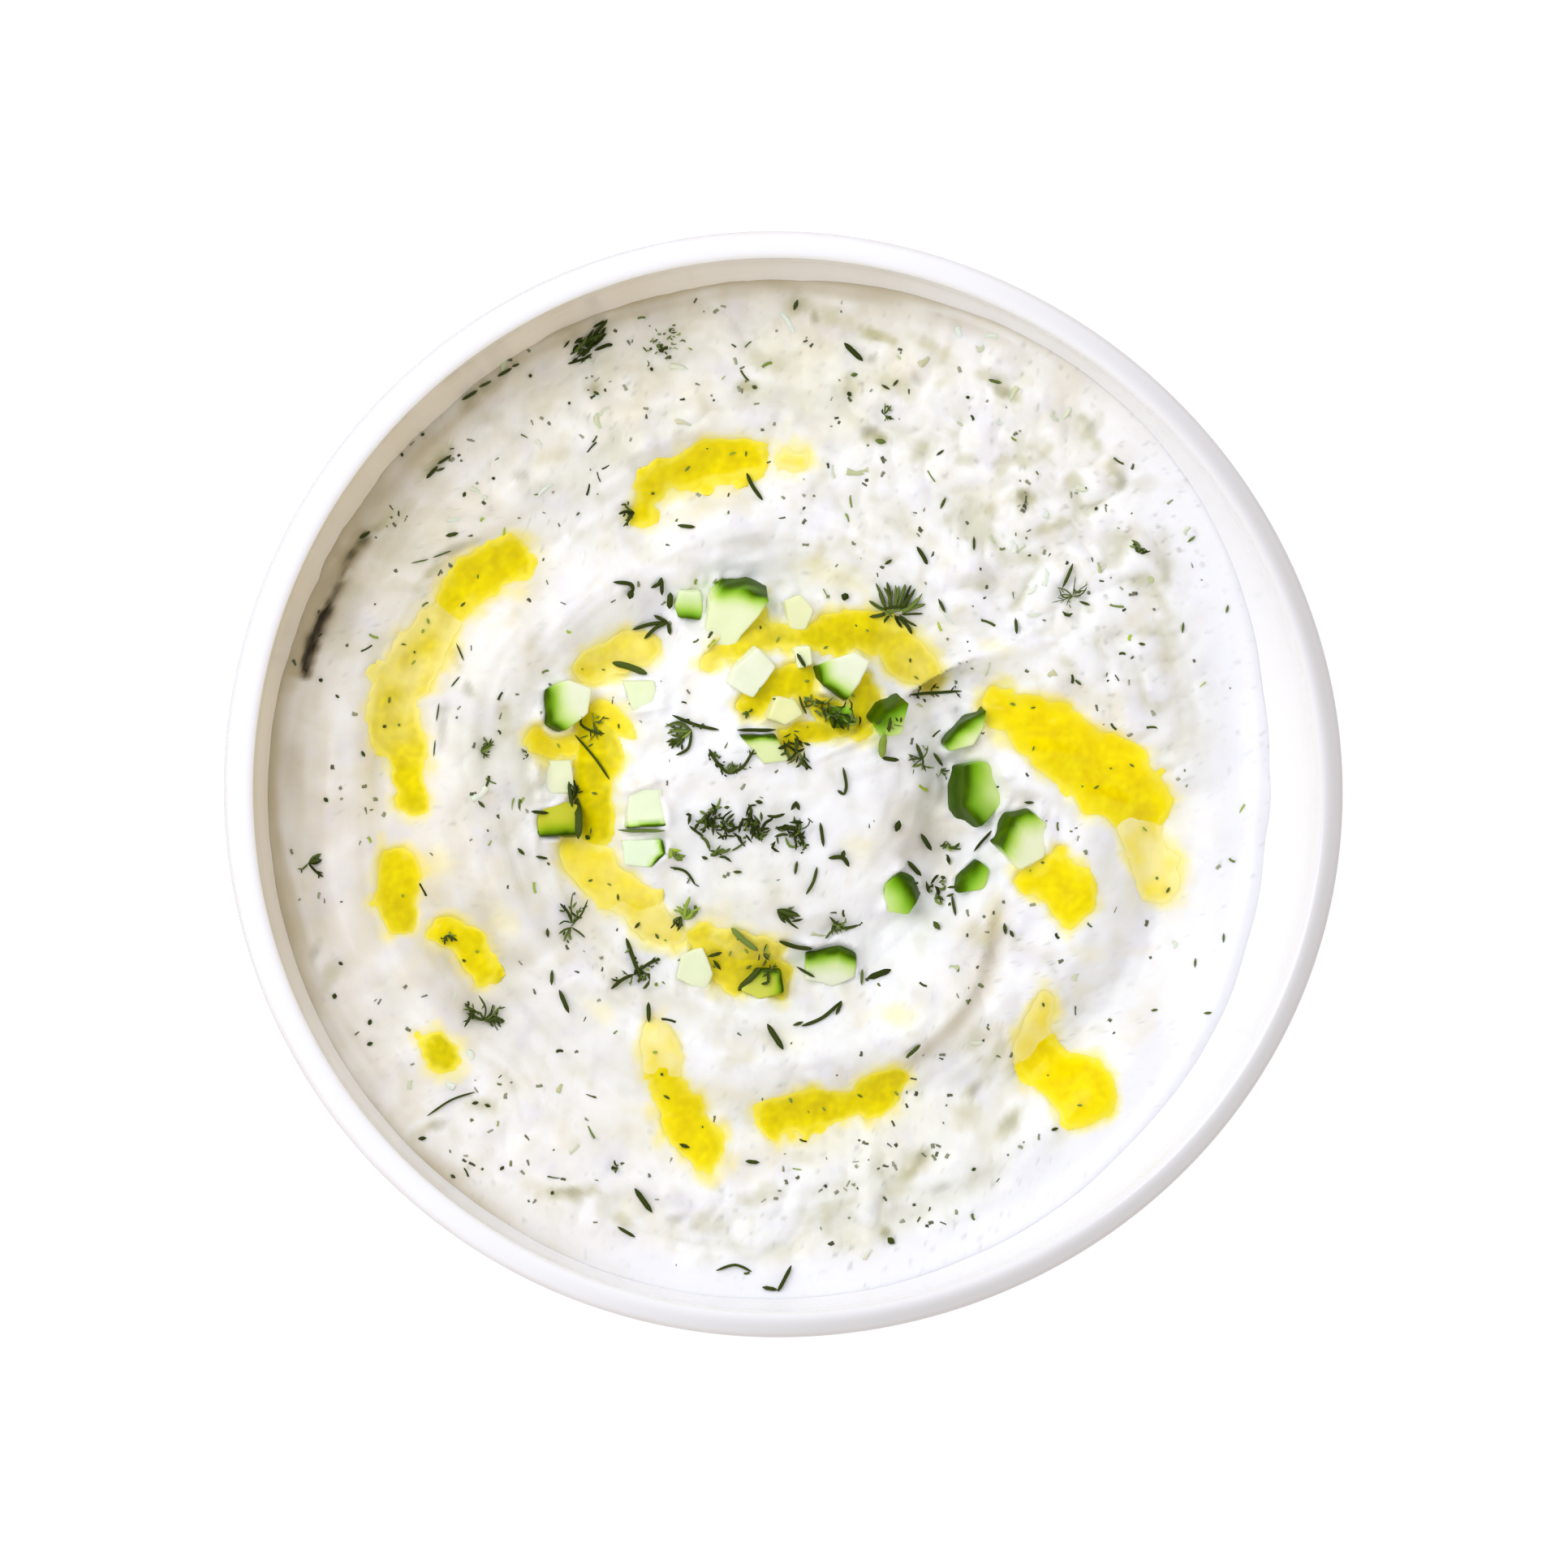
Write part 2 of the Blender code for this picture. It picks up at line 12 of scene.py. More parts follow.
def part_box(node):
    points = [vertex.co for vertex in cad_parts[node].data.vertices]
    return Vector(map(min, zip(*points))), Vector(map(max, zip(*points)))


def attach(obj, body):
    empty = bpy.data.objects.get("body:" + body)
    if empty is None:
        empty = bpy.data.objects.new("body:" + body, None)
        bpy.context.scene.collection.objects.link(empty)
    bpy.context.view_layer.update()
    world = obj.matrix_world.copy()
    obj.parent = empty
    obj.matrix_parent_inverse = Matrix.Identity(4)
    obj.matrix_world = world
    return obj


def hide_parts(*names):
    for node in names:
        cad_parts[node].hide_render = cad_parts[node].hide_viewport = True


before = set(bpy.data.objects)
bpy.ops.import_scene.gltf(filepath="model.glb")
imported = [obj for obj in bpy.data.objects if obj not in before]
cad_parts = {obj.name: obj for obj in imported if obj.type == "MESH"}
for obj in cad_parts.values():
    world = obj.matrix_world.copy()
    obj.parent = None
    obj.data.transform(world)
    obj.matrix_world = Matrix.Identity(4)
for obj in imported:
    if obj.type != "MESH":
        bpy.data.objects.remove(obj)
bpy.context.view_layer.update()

MM = 0.001

# ---------------------------------------------------------------- camera, floor and light
# The bowl stands on a sheet of white acrylic in a pale studio. The camera looks down on it, leaning a few
# degrees to the left. A large soft window stands low at the left, and the room fills the shadows.

VIEW_TILT = 8.4  # degrees off the bowl's axis
VIEW_SIDE = 154  # degrees round from +X, the side that the camera leans to
VIEW_DISTANCE = 3.0
LENS = 481.0
VIEW_TARGET = (-0.3, 0.6)  # mm off the middle of the rim
SENSOR = 36
WINDOW_SIDE, REFLECTOR_SIDE = 148, -50  # degrees round from +X
ROOM_BRIGHTNESS = 1.18
FLOOR_HALF = 4.0

scene = bpy.context.scene
scene.view_settings.view_transform = "Standard"


def spherical(side, height_angle):
    """Unit vector towards a side and a height above the horizon, both in degrees."""
    turn, rise = math.radians(side), math.radians(height_angle)
    return Vector((math.cos(turn) * math.cos(rise), math.sin(turn) * math.cos(rise), math.sin(rise)))


def aim(thing, target, back, distance, up=Vector((0, 1, 0))):
    """Places a camera or a light at a distance from the target, looking along -back."""
    upward = (up - up.dot(back) * back).normalized()
    frame_axes = Matrix((upward.cross(back), upward, back)).transposed().to_4x4()
    thing.matrix_world = Matrix.Translation(target + back * distance) @ frame_axes


def linear(code):
    """Linear RGB of an sRGB hex colour."""
    channels = [int(code[start : start + 2], 16) / 255 for start in (0, 2, 4)]
    return tuple(c / 12.92 if c <= 0.04045 else ((c + 0.055) / 1.055) ** 2.4 for c in channels)


def new_object(name, data):
    """An object in the scene that holds a mesh, a lamp or a camera."""
    made = bpy.data.objects.new(name, data)
    scene.collection.objects.link(made)
    return made


rim_centre = Vector((0, 0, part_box("bowl")[1].z))
camera = new_object("camera", bpy.data.cameras.new("camera"))
camera.data.sensor_width = SENSOR
camera.data.lens = LENS
camera.data.clip_start = 0.01
scene.camera = camera
target = rim_centre + Vector((*VIEW_TARGET, 0)) * MM
aim(camera, target, spherical(VIEW_SIDE, 90 - VIEW_TILT), VIEW_DISTANCE)


def add(tree, kind, links=(), **settings):
    """Adds a node with its settings; links are (input, a value or the output that feeds it)."""
    made = tree.nodes.new(kind)
    for name, value in settings.items():
        setattr(made, name, value)
    for name, source in links:
        if isinstance(source, bpy.types.NodeSocket):
            tree.links.new(source, made.inputs[name])
        else:
            made.inputs[name].default_value = source
    return made


def new_material(name, **finish):
    """A material with its Principled shader; finish sets sockets that are the same all over."""
    made = bpy.data.materials.new(name)
    made.use_nodes = True
    shader = made.node_tree.nodes["Principled BSDF"]
    for socket, value in finish.items():
        shader.inputs[socket.replace("_", " ")].default_value = value
    return made, made.node_tree, shader


def blend(tree, factor, first, second):
    """Mixes two colours in a tree."""
    colour_a, colour_b, mixed_colour = 6, 7, 2  # the Mix node's sockets for colours
    links = [("Factor", factor), (colour_a, first), (colour_b, second)]
    return add(tree, "ShaderNodeMix", links, data_type="RGBA").outputs[mixed_colour]


# The room: white walls, cooler and brighter behind the window, warmer on the far side, and a dark ceiling.
world = bpy.data.worlds.new("pale_studio")
world.use_nodes = True
scene.world = world
tree = world.node_tree
direction = add(tree, "ShaderNodeTexCoord").outputs["Generated"]
far_side = add(
    tree,
    "ShaderNodeVectorMath",
    [(0, direction), (1, spherical(REFLECTOR_SIDE, 0))],
    operation="DOT_PRODUCT",
)
towards_far = add(tree, "ShaderNodeMapRange", [("Value", far_side.outputs["Value"]), ("From Min", -1)])
walls = blend(tree, towards_far.outputs["Result"], (*linear("F8F8FF"), 1), (*linear("E2D9CC"), 1))
split = add(tree, "ShaderNodeSeparateXYZ", [("Vector", direction)])
overhead = add(tree, "ShaderNodeMapRange", [("Value", split.outputs["Z"])])
walls_and_ceiling = blend(tree, overhead.outputs["Result"], walls, (*linear("BBBCC4"), 1))
background = tree.nodes["Background"]
tree.links.new(walls_and_ceiling, background.inputs["Color"])
background.inputs["Strength"].default_value = ROOM_BRIGHTNESS


def soft_light(name, side, height_angle, distance, size, power, colour):
    """A round area light that faces the bowl."""
    lamp = bpy.data.lights.new(name, "AREA")
    lamp.shape = "DISK"
    lamp.size = size
    lamp.energy = power
    lamp.color = linear(colour)
    back = spherical(side, height_angle)
    aim(new_object(name, lamp), rim_centre, back, distance, up=Vector((0, 0, 1)))


soft_light("window", WINDOW_SIDE, height_angle=50, distance=0.9, size=0.7, power=4.1, colour="FBFCFF")
soft_light("reflector", REFLECTOR_SIDE, height_angle=30, distance=1.1, size=0.8, power=0.6, colour="FFEBD2")


def big_sheet(name, height, material):
    """A square of floor that isn't part of the dish."""
    mesh = bpy.data.meshes.new(name)
    corners = [(x * FLOOR_HALF, y * FLOOR_HALF, height) for x, y in ((-1, -1), (1, -1), (1, 1), (-1, 1))]
    mesh.from_pydata(corners, [], [(0, 1, 2, 3)])
    mesh.materials.append(material)
    made = new_object(name, mesh)
    return made


# The sheet glows white for the camera only; the grey table under it is what throws light up at the bowl.
SHEET_GLOW = 0.8
acrylic, tree, shader = new_material(
    "white_acrylic_sheet", Roughness=0.5, Emission_Color=(1, 1, 1, 1), Emission_Strength=SHEET_GLOW
)
shader.inputs["Base Color"].default_value = (*linear("8E8E90"), 1)
sheet = big_sheet("floor", 0, acrylic)
sheet.visible_diffuse = False
sheet.visible_glossy = False
sheet.visible_shadow = False
table_paint, tree, shader = new_material("grey_table", Roughness=0.6)
shader.inputs["Base Color"].default_value = (*linear("E4E2E0"), 1)
table = big_sheet("table", -1 * MM, table_paint)
table.visible_camera = False

# ---------------------------------------------------------------- bowl
# A stoneware bowl thrown on the wheel, a little out of round, dipped in a white gloss glaze and fired on
# its wiped foot ring. The turned section is spun round the axis, then warped as the clay was.

BOWL_RADIUS = 80 * MM
BOWL_HEIGHT = rim_centre.z
RIM_THICKNESS = 3.8 * MM
FOOT_RADIUS = 41 * MM
FOOT_WIDTH = 5 * MM
FOOT_RECESS = 2.5 * MM
FOOT_CHAMFER = 0.8 * MM
FOOT_FILLET = 1.2 * MM
FLOOR_TOP = 7.5 * MM
WALL_FULLNESS = 2.4
OVAL, OVAL_ANGLE = 0.010, -17
LOBES, LOBES_ANGLE = 0.005, -15
LIP_RADIUS = RIM_THICKNESS / 2
LIP_FLATNESS = 0.75  # 1 is a round lip, less is flatter on top
WALL_TOP = BOWL_HEIGHT - LIP_RADIUS
INNER_RADIUS = BOWL_RADIUS - RIM_THICKNESS
THROWING_PITCH = 3.4 * MM  # between the rings that the potter's fingers left
THROWING_DEPTH = 0.07 * MM
RINGS_START = 8 * MM
BOWL_SECTORS = 256
INSIDE_STEPS, LIP_STEPS, OUTSIDE_STEPS = 48, 18, 84
GRAIN_CELLS = 256  # how far random relief runs before it repeats


def smooth_step(value):
    """0 below 0, 1 above 1, and an even slope between them."""
    value = np.clip(value, 0, 1)
    return value * value * (3 - 2 * value)


def bell(distance, width):
    """1 at no distance, falling off to nothing at about two widths."""
    return np.exp(-((distance / width) ** 2))


def towards(angle, side, middle, swing):
    """Near 1 on the given side of the bowl, in degrees, and falling to 0 on the far one."""
    return smooth_step(middle + swing * np.cos(angle - math.radians(side)))


def grain(x, y, size, seed):
    """Smooth random relief, about -1 to 1, with hills about one size across."""
    turns = np.random.default_rng(seed).uniform(0, math.tau, (GRAIN_CELLS, GRAIN_CELLS))
    u, v = x / size + 97.3, y / size + 61.7
    column, row = np.floor(u).astype(int), np.floor(v).astype(int)
    du, dv = u - column, v - row
    sides = []
    for up in (0, 1):
        corners = []
        for right in (0, 1):
            turn = turns[(column + right) % GRAIN_CELLS, (row + up) % GRAIN_CELLS]
            corners.append(np.cos(turn) * (du - right) + np.sin(turn) * (dv - up))
        sides.append(corners[0] + (corners[1] - corners[0]) * smooth_step(du))
    return 1.6 * (sides[0] + (sides[1] - sides[0]) * smooth_step(dv))


def warp(angle, height):
    """The rim's warp fades down to the foot ring, which stays round."""
    oval = OVAL * np.cos(2 * (angle - math.radians(OVAL_ANGLE)))
    lobes = LOBES * np.cos(3 * (angle - math.radians(LOBES_ANGLE)))
    return 1 + (oval + lobes) * height / BOWL_HEIGHT


def wall_curve(radius, bottom, steps):
    """(radius, height) down a wall, from its upright top to the middle of its floor."""
    turn = np.linspace(0, math.pi / 2, steps + 1)
    share = 2 / WALL_FULLNESS
    across = np.maximum(np.cos(turn), 0) ** share
    return np.stack([radius * across, WALL_TOP - (WALL_TOP - bottom) * np.sin(turn) ** share], axis=1)


def arc(centre, radius, start, end, steps):
    """Points on an arc between two angles in degrees."""
    turn = np.radians(np.linspace(start, end, steps + 1))
    return np.stack([centre[0] + radius * np.cos(turn), centre[1] + radius * np.sin(turn)], axis=1)


def bowl_section():
    """Closed half section, from the middle of the floor inside, over the lip, to the middle underneath."""
    inside = wall_curve(INNER_RADIUS, FLOOR_TOP, INSIDE_STEPS)[::-1]
    turn = np.radians(np.linspace(180, 0, LIP_STEPS + 1))[1:-1]
    across = np.sign(np.cos(turn)) * abs(np.cos(turn)) ** LIP_FLATNESS
    lip = np.stack([across, np.sin(turn) ** LIP_FLATNESS], axis=1) * LIP_RADIUS
    lip += (BOWL_RADIUS - LIP_RADIUS, WALL_TOP)
    outside = wall_curve(BOWL_RADIUS, FOOT_RECESS, OUTSIDE_STEPS)
    foot_top = outside[outside[:, 0] > FOOT_RADIUS + 1 * MM]
    corner, fillet = FOOT_CHAMFER, FOOT_FILLET
    ring_outside = arc((FOOT_RADIUS - corner, corner), corner, 0, -90, 5)
    ring_inside = arc((FOOT_RADIUS - FOOT_WIDTH + corner, corner), corner, -90, -180, 5)
    recess = arc((FOOT_RADIUS - FOOT_WIDTH - fillet, FOOT_RECESS - fillet), fillet, 0, 90, 4)
    middle = np.array([(FOOT_RADIUS / 2, FOOT_RECESS), (0, FOOT_RECESS)])
    return np.concatenate([inside, lip, foot_top, ring_outside, ring_inside, recess, middle])


def make_piece(name, points, faces, material):
    """A smooth-shaded mesh piece whose place is in its mesh; faces is a plain list."""
    mesh = bpy.data.meshes.new(name)
    mesh.from_pydata(points.tolist(), [], faces)
    mesh.materials.append(material)
    mesh.shade_smooth()
    return new_object(name, mesh)


def paint(piece, name, colours):
    """Stores linear RGB rows, one for each point, as a colour attribute."""
    layer = piece.data.color_attributes.new(name, "FLOAT_COLOR", "POINT")
    layer.data.foreach_set("color", np.column_stack([colours, np.ones(len(colours))]).ravel())


def mark(mesh, name, values):
    """Stores one number for each point as an attribute."""
    layer = mesh.attributes.new(name, "FLOAT", "POINT")
    layer.data.foreach_set("value", np.asarray(values, np.float32))


def mix(under, over, share):
    """Blends two linear colours, or rows of them, by a share for each row."""
    share = np.clip(np.asarray(share), 0, 1)[:, None]
    return np.asarray(under) * (1 - share) + np.asarray(over) * share


def dress(tree, shader, layer, size, detail, strength, depth):
    """Colours a piece from its own attribute and roughens it with fine bumps of a real size and depth."""
    colour = add(tree, "ShaderNodeVertexColor", layer_name=layer)
    place = add(tree, "ShaderNodeTexCoord")
    bumpy = add(
        tree,
        "ShaderNodeTexNoise",
        [("Vector", place.outputs["Object"]), ("Scale", 1 / size), ("Detail", detail)],
    )
    bump = add(
        tree,
        "ShaderNodeBump",
        [("Height", bumpy.outputs["Fac"]), ("Strength", strength), ("Distance", depth)],
    )
    tree.links.new(colour.outputs["Color"], shader.inputs["Base Color"])
    tree.links.new(bump.outputs["Normal"], shader.inputs["Normal"])


section = bowl_section()
ring_count = len(section) - 2
angles = np.arange(BOWL_SECTORS) * math.tau / BOWL_SECTORS
radii, heights = section[1:-1, 0][:, None], section[1:-1, 1][:, None] * np.ones(BOWL_SECTORS)
rings_fade = smooth_step((heights - RINGS_START) / (6 * MM)) * smooth_step((WALL_TOP - heights) / (5 * MM))
spiral = heights + THROWING_PITCH * angles / math.tau
wobble = grain(spiral, np.cos(angles) * 30 * MM * np.ones_like(spiral), 6 * MM, 11)
rings = THROWING_DEPTH * rings_fade * (np.sin(math.tau * spiral / THROWING_PITCH) * (0.6 + 0.4 * wobble))
turned = (radii + rings) * warp(angles, heights)
ring_points = np.stack([turned * np.cos(angles), turned * np.sin(angles), heights], axis=2).reshape(-1, 3)
bowl_points = np.concatenate([ring_points, [(0, 0, section[0, 1]), (0, 0, section[-1, 1])]])
top_pole, under_pole = len(bowl_points) - 2, len(bowl_points) - 1
bowl_faces = []
last = (ring_count - 1) * BOWL_SECTORS
for sector in range(BOWL_SECTORS):
    after = (sector + 1) % BOWL_SECTORS
    bowl_faces.append((top_pole, sector, after))
    bowl_faces.append((under_pole, last + after, last + sector))
    for ring in range(ring_count - 1):
        inner, outer = ring * BOWL_SECTORS, (ring + 1) * BOWL_SECTORS
        bowl_faces.append((inner + sector, outer + sector, outer + after, inner + after))

# Tin-white gloss glaze over buff stoneware: thick and white on the walls, thinner and warmer where it ran
# off the edge of the lip, and none on the wiped foot. Shade is painted into it: a warm cream low inside,
# strongest on the inner wall on the window's side, and grey on the lip's outer edge on the far side.
GLAZE_WHITE = linear("F7F7F9")
GLAZE_CREAM_SHADE = linear("F0E4CB")
GLAZE_THIN = linear("E6D3BE")
LIP_SHADE_GREY = linear("CDCAC8")
BARE_CLAY = linear("CDB99B")
WIPED_HEIGHT = 3.2 * MM
CREAM_STARTS, CREAM_DEEPENS = 50.8 * MM, 50 * MM  # heights
THIN_INSET, THIN_DROP = 0.35 * MM, 1.2 * MM  # where it is thinnest, from the lip's outer edge and top
GREY_SIDE = -25  # degrees round from +X, where the lip turns from the light
GREY_INSET, GREY_WIDTH = 1.5 * MM, 1.8 * MM
GLOSSY, UNGLAZED = 0.16, 0.75  # roughness
glaze, tree, shader = new_material("tin_white_gloss_glaze", IOR=1.5)
dress(tree, shader, "glaze", size=2.5 * MM, detail=2, strength=0.12, depth=0.1 * MM)
bare = add(tree, "ShaderNodeAttribute", attribute_name="bare")
roughness = add(
    tree, "ShaderNodeMapRange", [("Value", bare.outputs["Fac"]), ("To Min", GLOSSY), ("To Max", UNGLAZED)]
)
tree.links.new(roughness.outputs["Result"], shader.inputs["Roughness"])

bowl = make_piece("glazed_bowl", bowl_points, bowl_faces, glaze)
x, y, z = bowl_points.T
side = np.arctan2(y, x)
reach = np.hypot(x, y) / warp(side, z)
run = grain(x, y, 7 * MM, 3) * 0.5 + grain(x + z, y - z, 2.5 * MM, 4) * 0.3
before_lip = np.repeat(np.arange(ring_count) < np.argmax(section[1:-1, 1]), BOWL_SECTORS)
is_inside = smooth_step((BOWL_RADIUS - LIP_RADIUS - reach) / LIP_RADIUS)
is_inside *= np.append(before_lip, (True, False))
# Painted shade: a warm cream low on the inside, strongest on the inner wall on the window's side, which
# faces away from the window.
just_inside = smooth_step((CREAM_STARTS - z) / (2 * MM))
deeper = smooth_step((CREAM_DEEPENS - z) / (14 * MM))
low_inside = is_inside * (0.35 * just_inside + 0.65 * deeper) * (0.85 + 0.25 * run)
painted_shade_side = towards(side, WINDOW_SIDE, 0.02, 0.93)
colours = mix(GLAZE_WHITE, GLAZE_CREAM_SHADE, low_inside * (0.06 + 0.94 * painted_shade_side))
thin = bell(reach - (BOWL_RADIUS - THIN_INSET), THIN_INSET)
thin *= bell(z - (BOWL_HEIGHT - THIN_DROP), THIN_DROP)
colours = mix(colours, GLAZE_THIN, thin * (0.25 + 0.35 * run))
# Painted shade: the lip's outer edge is greyed on the side that turns away from the window.
far_lip_shade = towards(side, GREY_SIDE, 0.3, 0.9)
far_lip_shade *= bell(reach - (BOWL_RADIUS - GREY_INSET), GREY_WIDTH)
far_lip_shade *= smooth_step((z - (BOWL_HEIGHT - 3 * MM)) / (2 * MM))
colours = mix(colours, LIP_SHADE_GREY, 0.9 * far_lip_shade)
clay = smooth_step((WIPED_HEIGHT + 0.5 * MM * run - z) / (0.25 * MM))
clay *= smooth_step((FOOT_RADIUS + 4 * MM - reach) / MM)
colours = mix(colours, BARE_CLAY, clay)
paint(bowl, "glaze", colours)
mark(bowl.data, "bare", clay)
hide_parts("bowl")
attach(bowl, "root")

# ---------------------------------------------------------------- dip
# Strained yogurt with grated cucumber, spread with the back of a spoon: a mound, a moat round it and a
# groove that winds once round the bowl. The piece fills the bowl and reaches just into its wall.

LEVEL = 34 * MM
EDGE_HEIGHTS = (30, 36, 32, 30, 32, 36, 38, 34)
EDGE_START = 0.72
MOUND_CENTRE = (-1 * MM, -1 * MM)
MOUND_RISE, MOUND_RADIUS = 2.6 * MM, 15 * MM
MOAT_RADIUS, MOAT_DEPTH, MOAT_WIDTH = 28.5 * MM, 5.0 * MM, 6.0 * MM
RIDGE_RISE, RIDGE_OFFSET = 1.6 * MM, 9.7 * MM
GROOVE_DEPTH, GROOVE_WIDTH = 4.2 * MM, 4.6 * MM
GROOVE_LINE = (
    (80, 46), (98, 45.5), (115, 42), (138, 48), (150, 52), (170, 54.5), (195, 54.5), (210, 50.5),
    (240, 50), (265, 50), (290, 49.5), (315, 57.5), (335, 60), (354, 57), (363, 49), (371, 41), (379, 35),
    (390, 29),
)  # (degrees, mm from the axis)
GROOVE_FADE = 22
HEADING_STEP = 4
LUMPS = (
    (50, 56, 1.6, 6.5), (33, 60, 1.2, 5.5), (66, 60, 1.3, 6.0), (45, 41, 1.4, 6.0), (66, 39, 1.0, 5.0),
    (-51, 43, 1.2, 5.0), (-130, 14, -1.4, 4.0), (165, 11, 0.9, 5.0), (22, 11, 0.9, 4.5),
    (-60, 62, 0.9, 7.0), (-120, 62, 0.8, 7.0),
)  # (degrees, mm from the axis, rise, width)
WALL_REACH = 0.3 * MM
DIP_BOTTOM = FLOOR_TOP + 2 * MM
DIP_CELLS = 284
UNDER_LEVELS = 6


def polar(degrees, radius):
    """(x, y) of a point given by its turn from +X and its distance from the axis."""
    return radius * np.cos(np.radians(degrees)), radius * np.sin(np.radians(degrees))


def smooth_list(values, position):
    """A smooth curve through a list of values, read at positions between its entries."""
    values = np.asarray(values, float)
    last = len(values) - 1
    start = np.clip(np.floor(position).astype(int), 0, last - 1)
    t = position - start
    before, a, b, after = (values[np.clip(start + k, 0, last)] for k in (-1, 0, 1, 2))
    rise = b - before
    bend = 2 * before - 5 * a + 4 * b - after
    twist = 3 * a - before - 3 * b + after
    return 0.5 * (2 * a + rise * t + bend * t * t + twist * t * t * t)


def edge_height(angle):
    """Height at which the dip meets the bowl's wall."""
    position = (angle / math.tau % 1) * len(EDGE_HEIGHTS)
    return smooth_list(EDGE_HEIGHTS[-2:] + EDGE_HEIGHTS + EDGE_HEIGHTS[:3], position + 2) * MM


def inner_radius(angle, height):
    """Radius of the bowl's inner wall."""
    down = np.clip((WALL_TOP - height) / (WALL_TOP - FLOOR_TOP), 0, 1)
    return INNER_RADIUS * (1 - down**WALL_FULLNESS) ** (1 / WALL_FULLNESS) * warp(angle, height)


def edge_radius(angle):
    """Radius at which the dip meets the bowl's wall."""
    return inner_radius(angle, edge_height(angle))


def groove_radius(degrees):
    """Distance of the groove's middle line from the axis."""
    line = np.array(GROOVE_LINE, float)
    after = np.clip(np.searchsorted(line[:, 0], degrees), 1, len(line) - 1)
    low, high = line[after - 1], line[after]
    share = smooth_step((degrees - low[..., 0]) / (high[..., 0] - low[..., 0]))
    return (low[..., 1] + (high[..., 1] - low[..., 1]) * share) * MM


def groove_offset(angle, radius):
    """(distance from the groove's middle line, how open the groove is there)."""
    first, last = GROOVE_LINE[0][0], GROOVE_LINE[-1][0]
    best, open_share = np.full(angle.shape, BOWL_RADIUS), np.zeros(angle.shape)
    for extra in (0, 360):
        turn = np.degrees(angle) % 360 + extra
        on_line = (turn >= first) & (turn <= last)
        middle = groove_radius(turn)
        ahead = groove_radius(np.minimum(turn + HEADING_STEP, last))
        behind = groove_radius(np.maximum(turn - HEADING_STEP, first))
        slope = (ahead - behind) / (math.radians(2 * HEADING_STEP) * middle)
        distance = (radius - middle) / np.hypot(1, slope)
        nearer = on_line & (abs(distance) < abs(best))
        best = np.where(nearer, distance, best)
        open_share = np.where(nearer, smooth_step((turn - first) / GROOVE_FADE), open_share)
    return best, open_share


def spread_height(x, y):
    """Height of the surface as the spoon left it, without its curds and smears."""
    angle, radius = np.arctan2(y, x), np.hypot(x, y)
    edge = edge_height(angle)
    outside = inner_radius(angle, edge)
    from_mound = np.hypot(x - MOUND_CENTRE[0], y - MOUND_CENTRE[1])
    height = LEVEL + (edge - LEVEL) * smooth_step((radius / outside - EDGE_START) / (1 - EDGE_START))
    height += MOUND_RISE * bell(from_mound, MOUND_RADIUS)
    height -= MOAT_DEPTH * bell(from_mound - MOAT_RADIUS, MOAT_WIDTH)
    distance, open_share = groove_offset(angle, radius)
    height -= GROOVE_DEPTH * open_share * bell(distance, GROOVE_WIDTH)
    for side in (-1, 1):
        height += RIDGE_RISE * open_share * bell(distance - side * RIDGE_OFFSET, GROOVE_WIDTH)
    for degrees, lump_radius, rise, width in LUMPS:
        lump_x, lump_y = polar(degrees, lump_radius * MM)
        height += rise * MM * bell(np.hypot(x - lump_x, y - lump_y), width * MM)
    return height


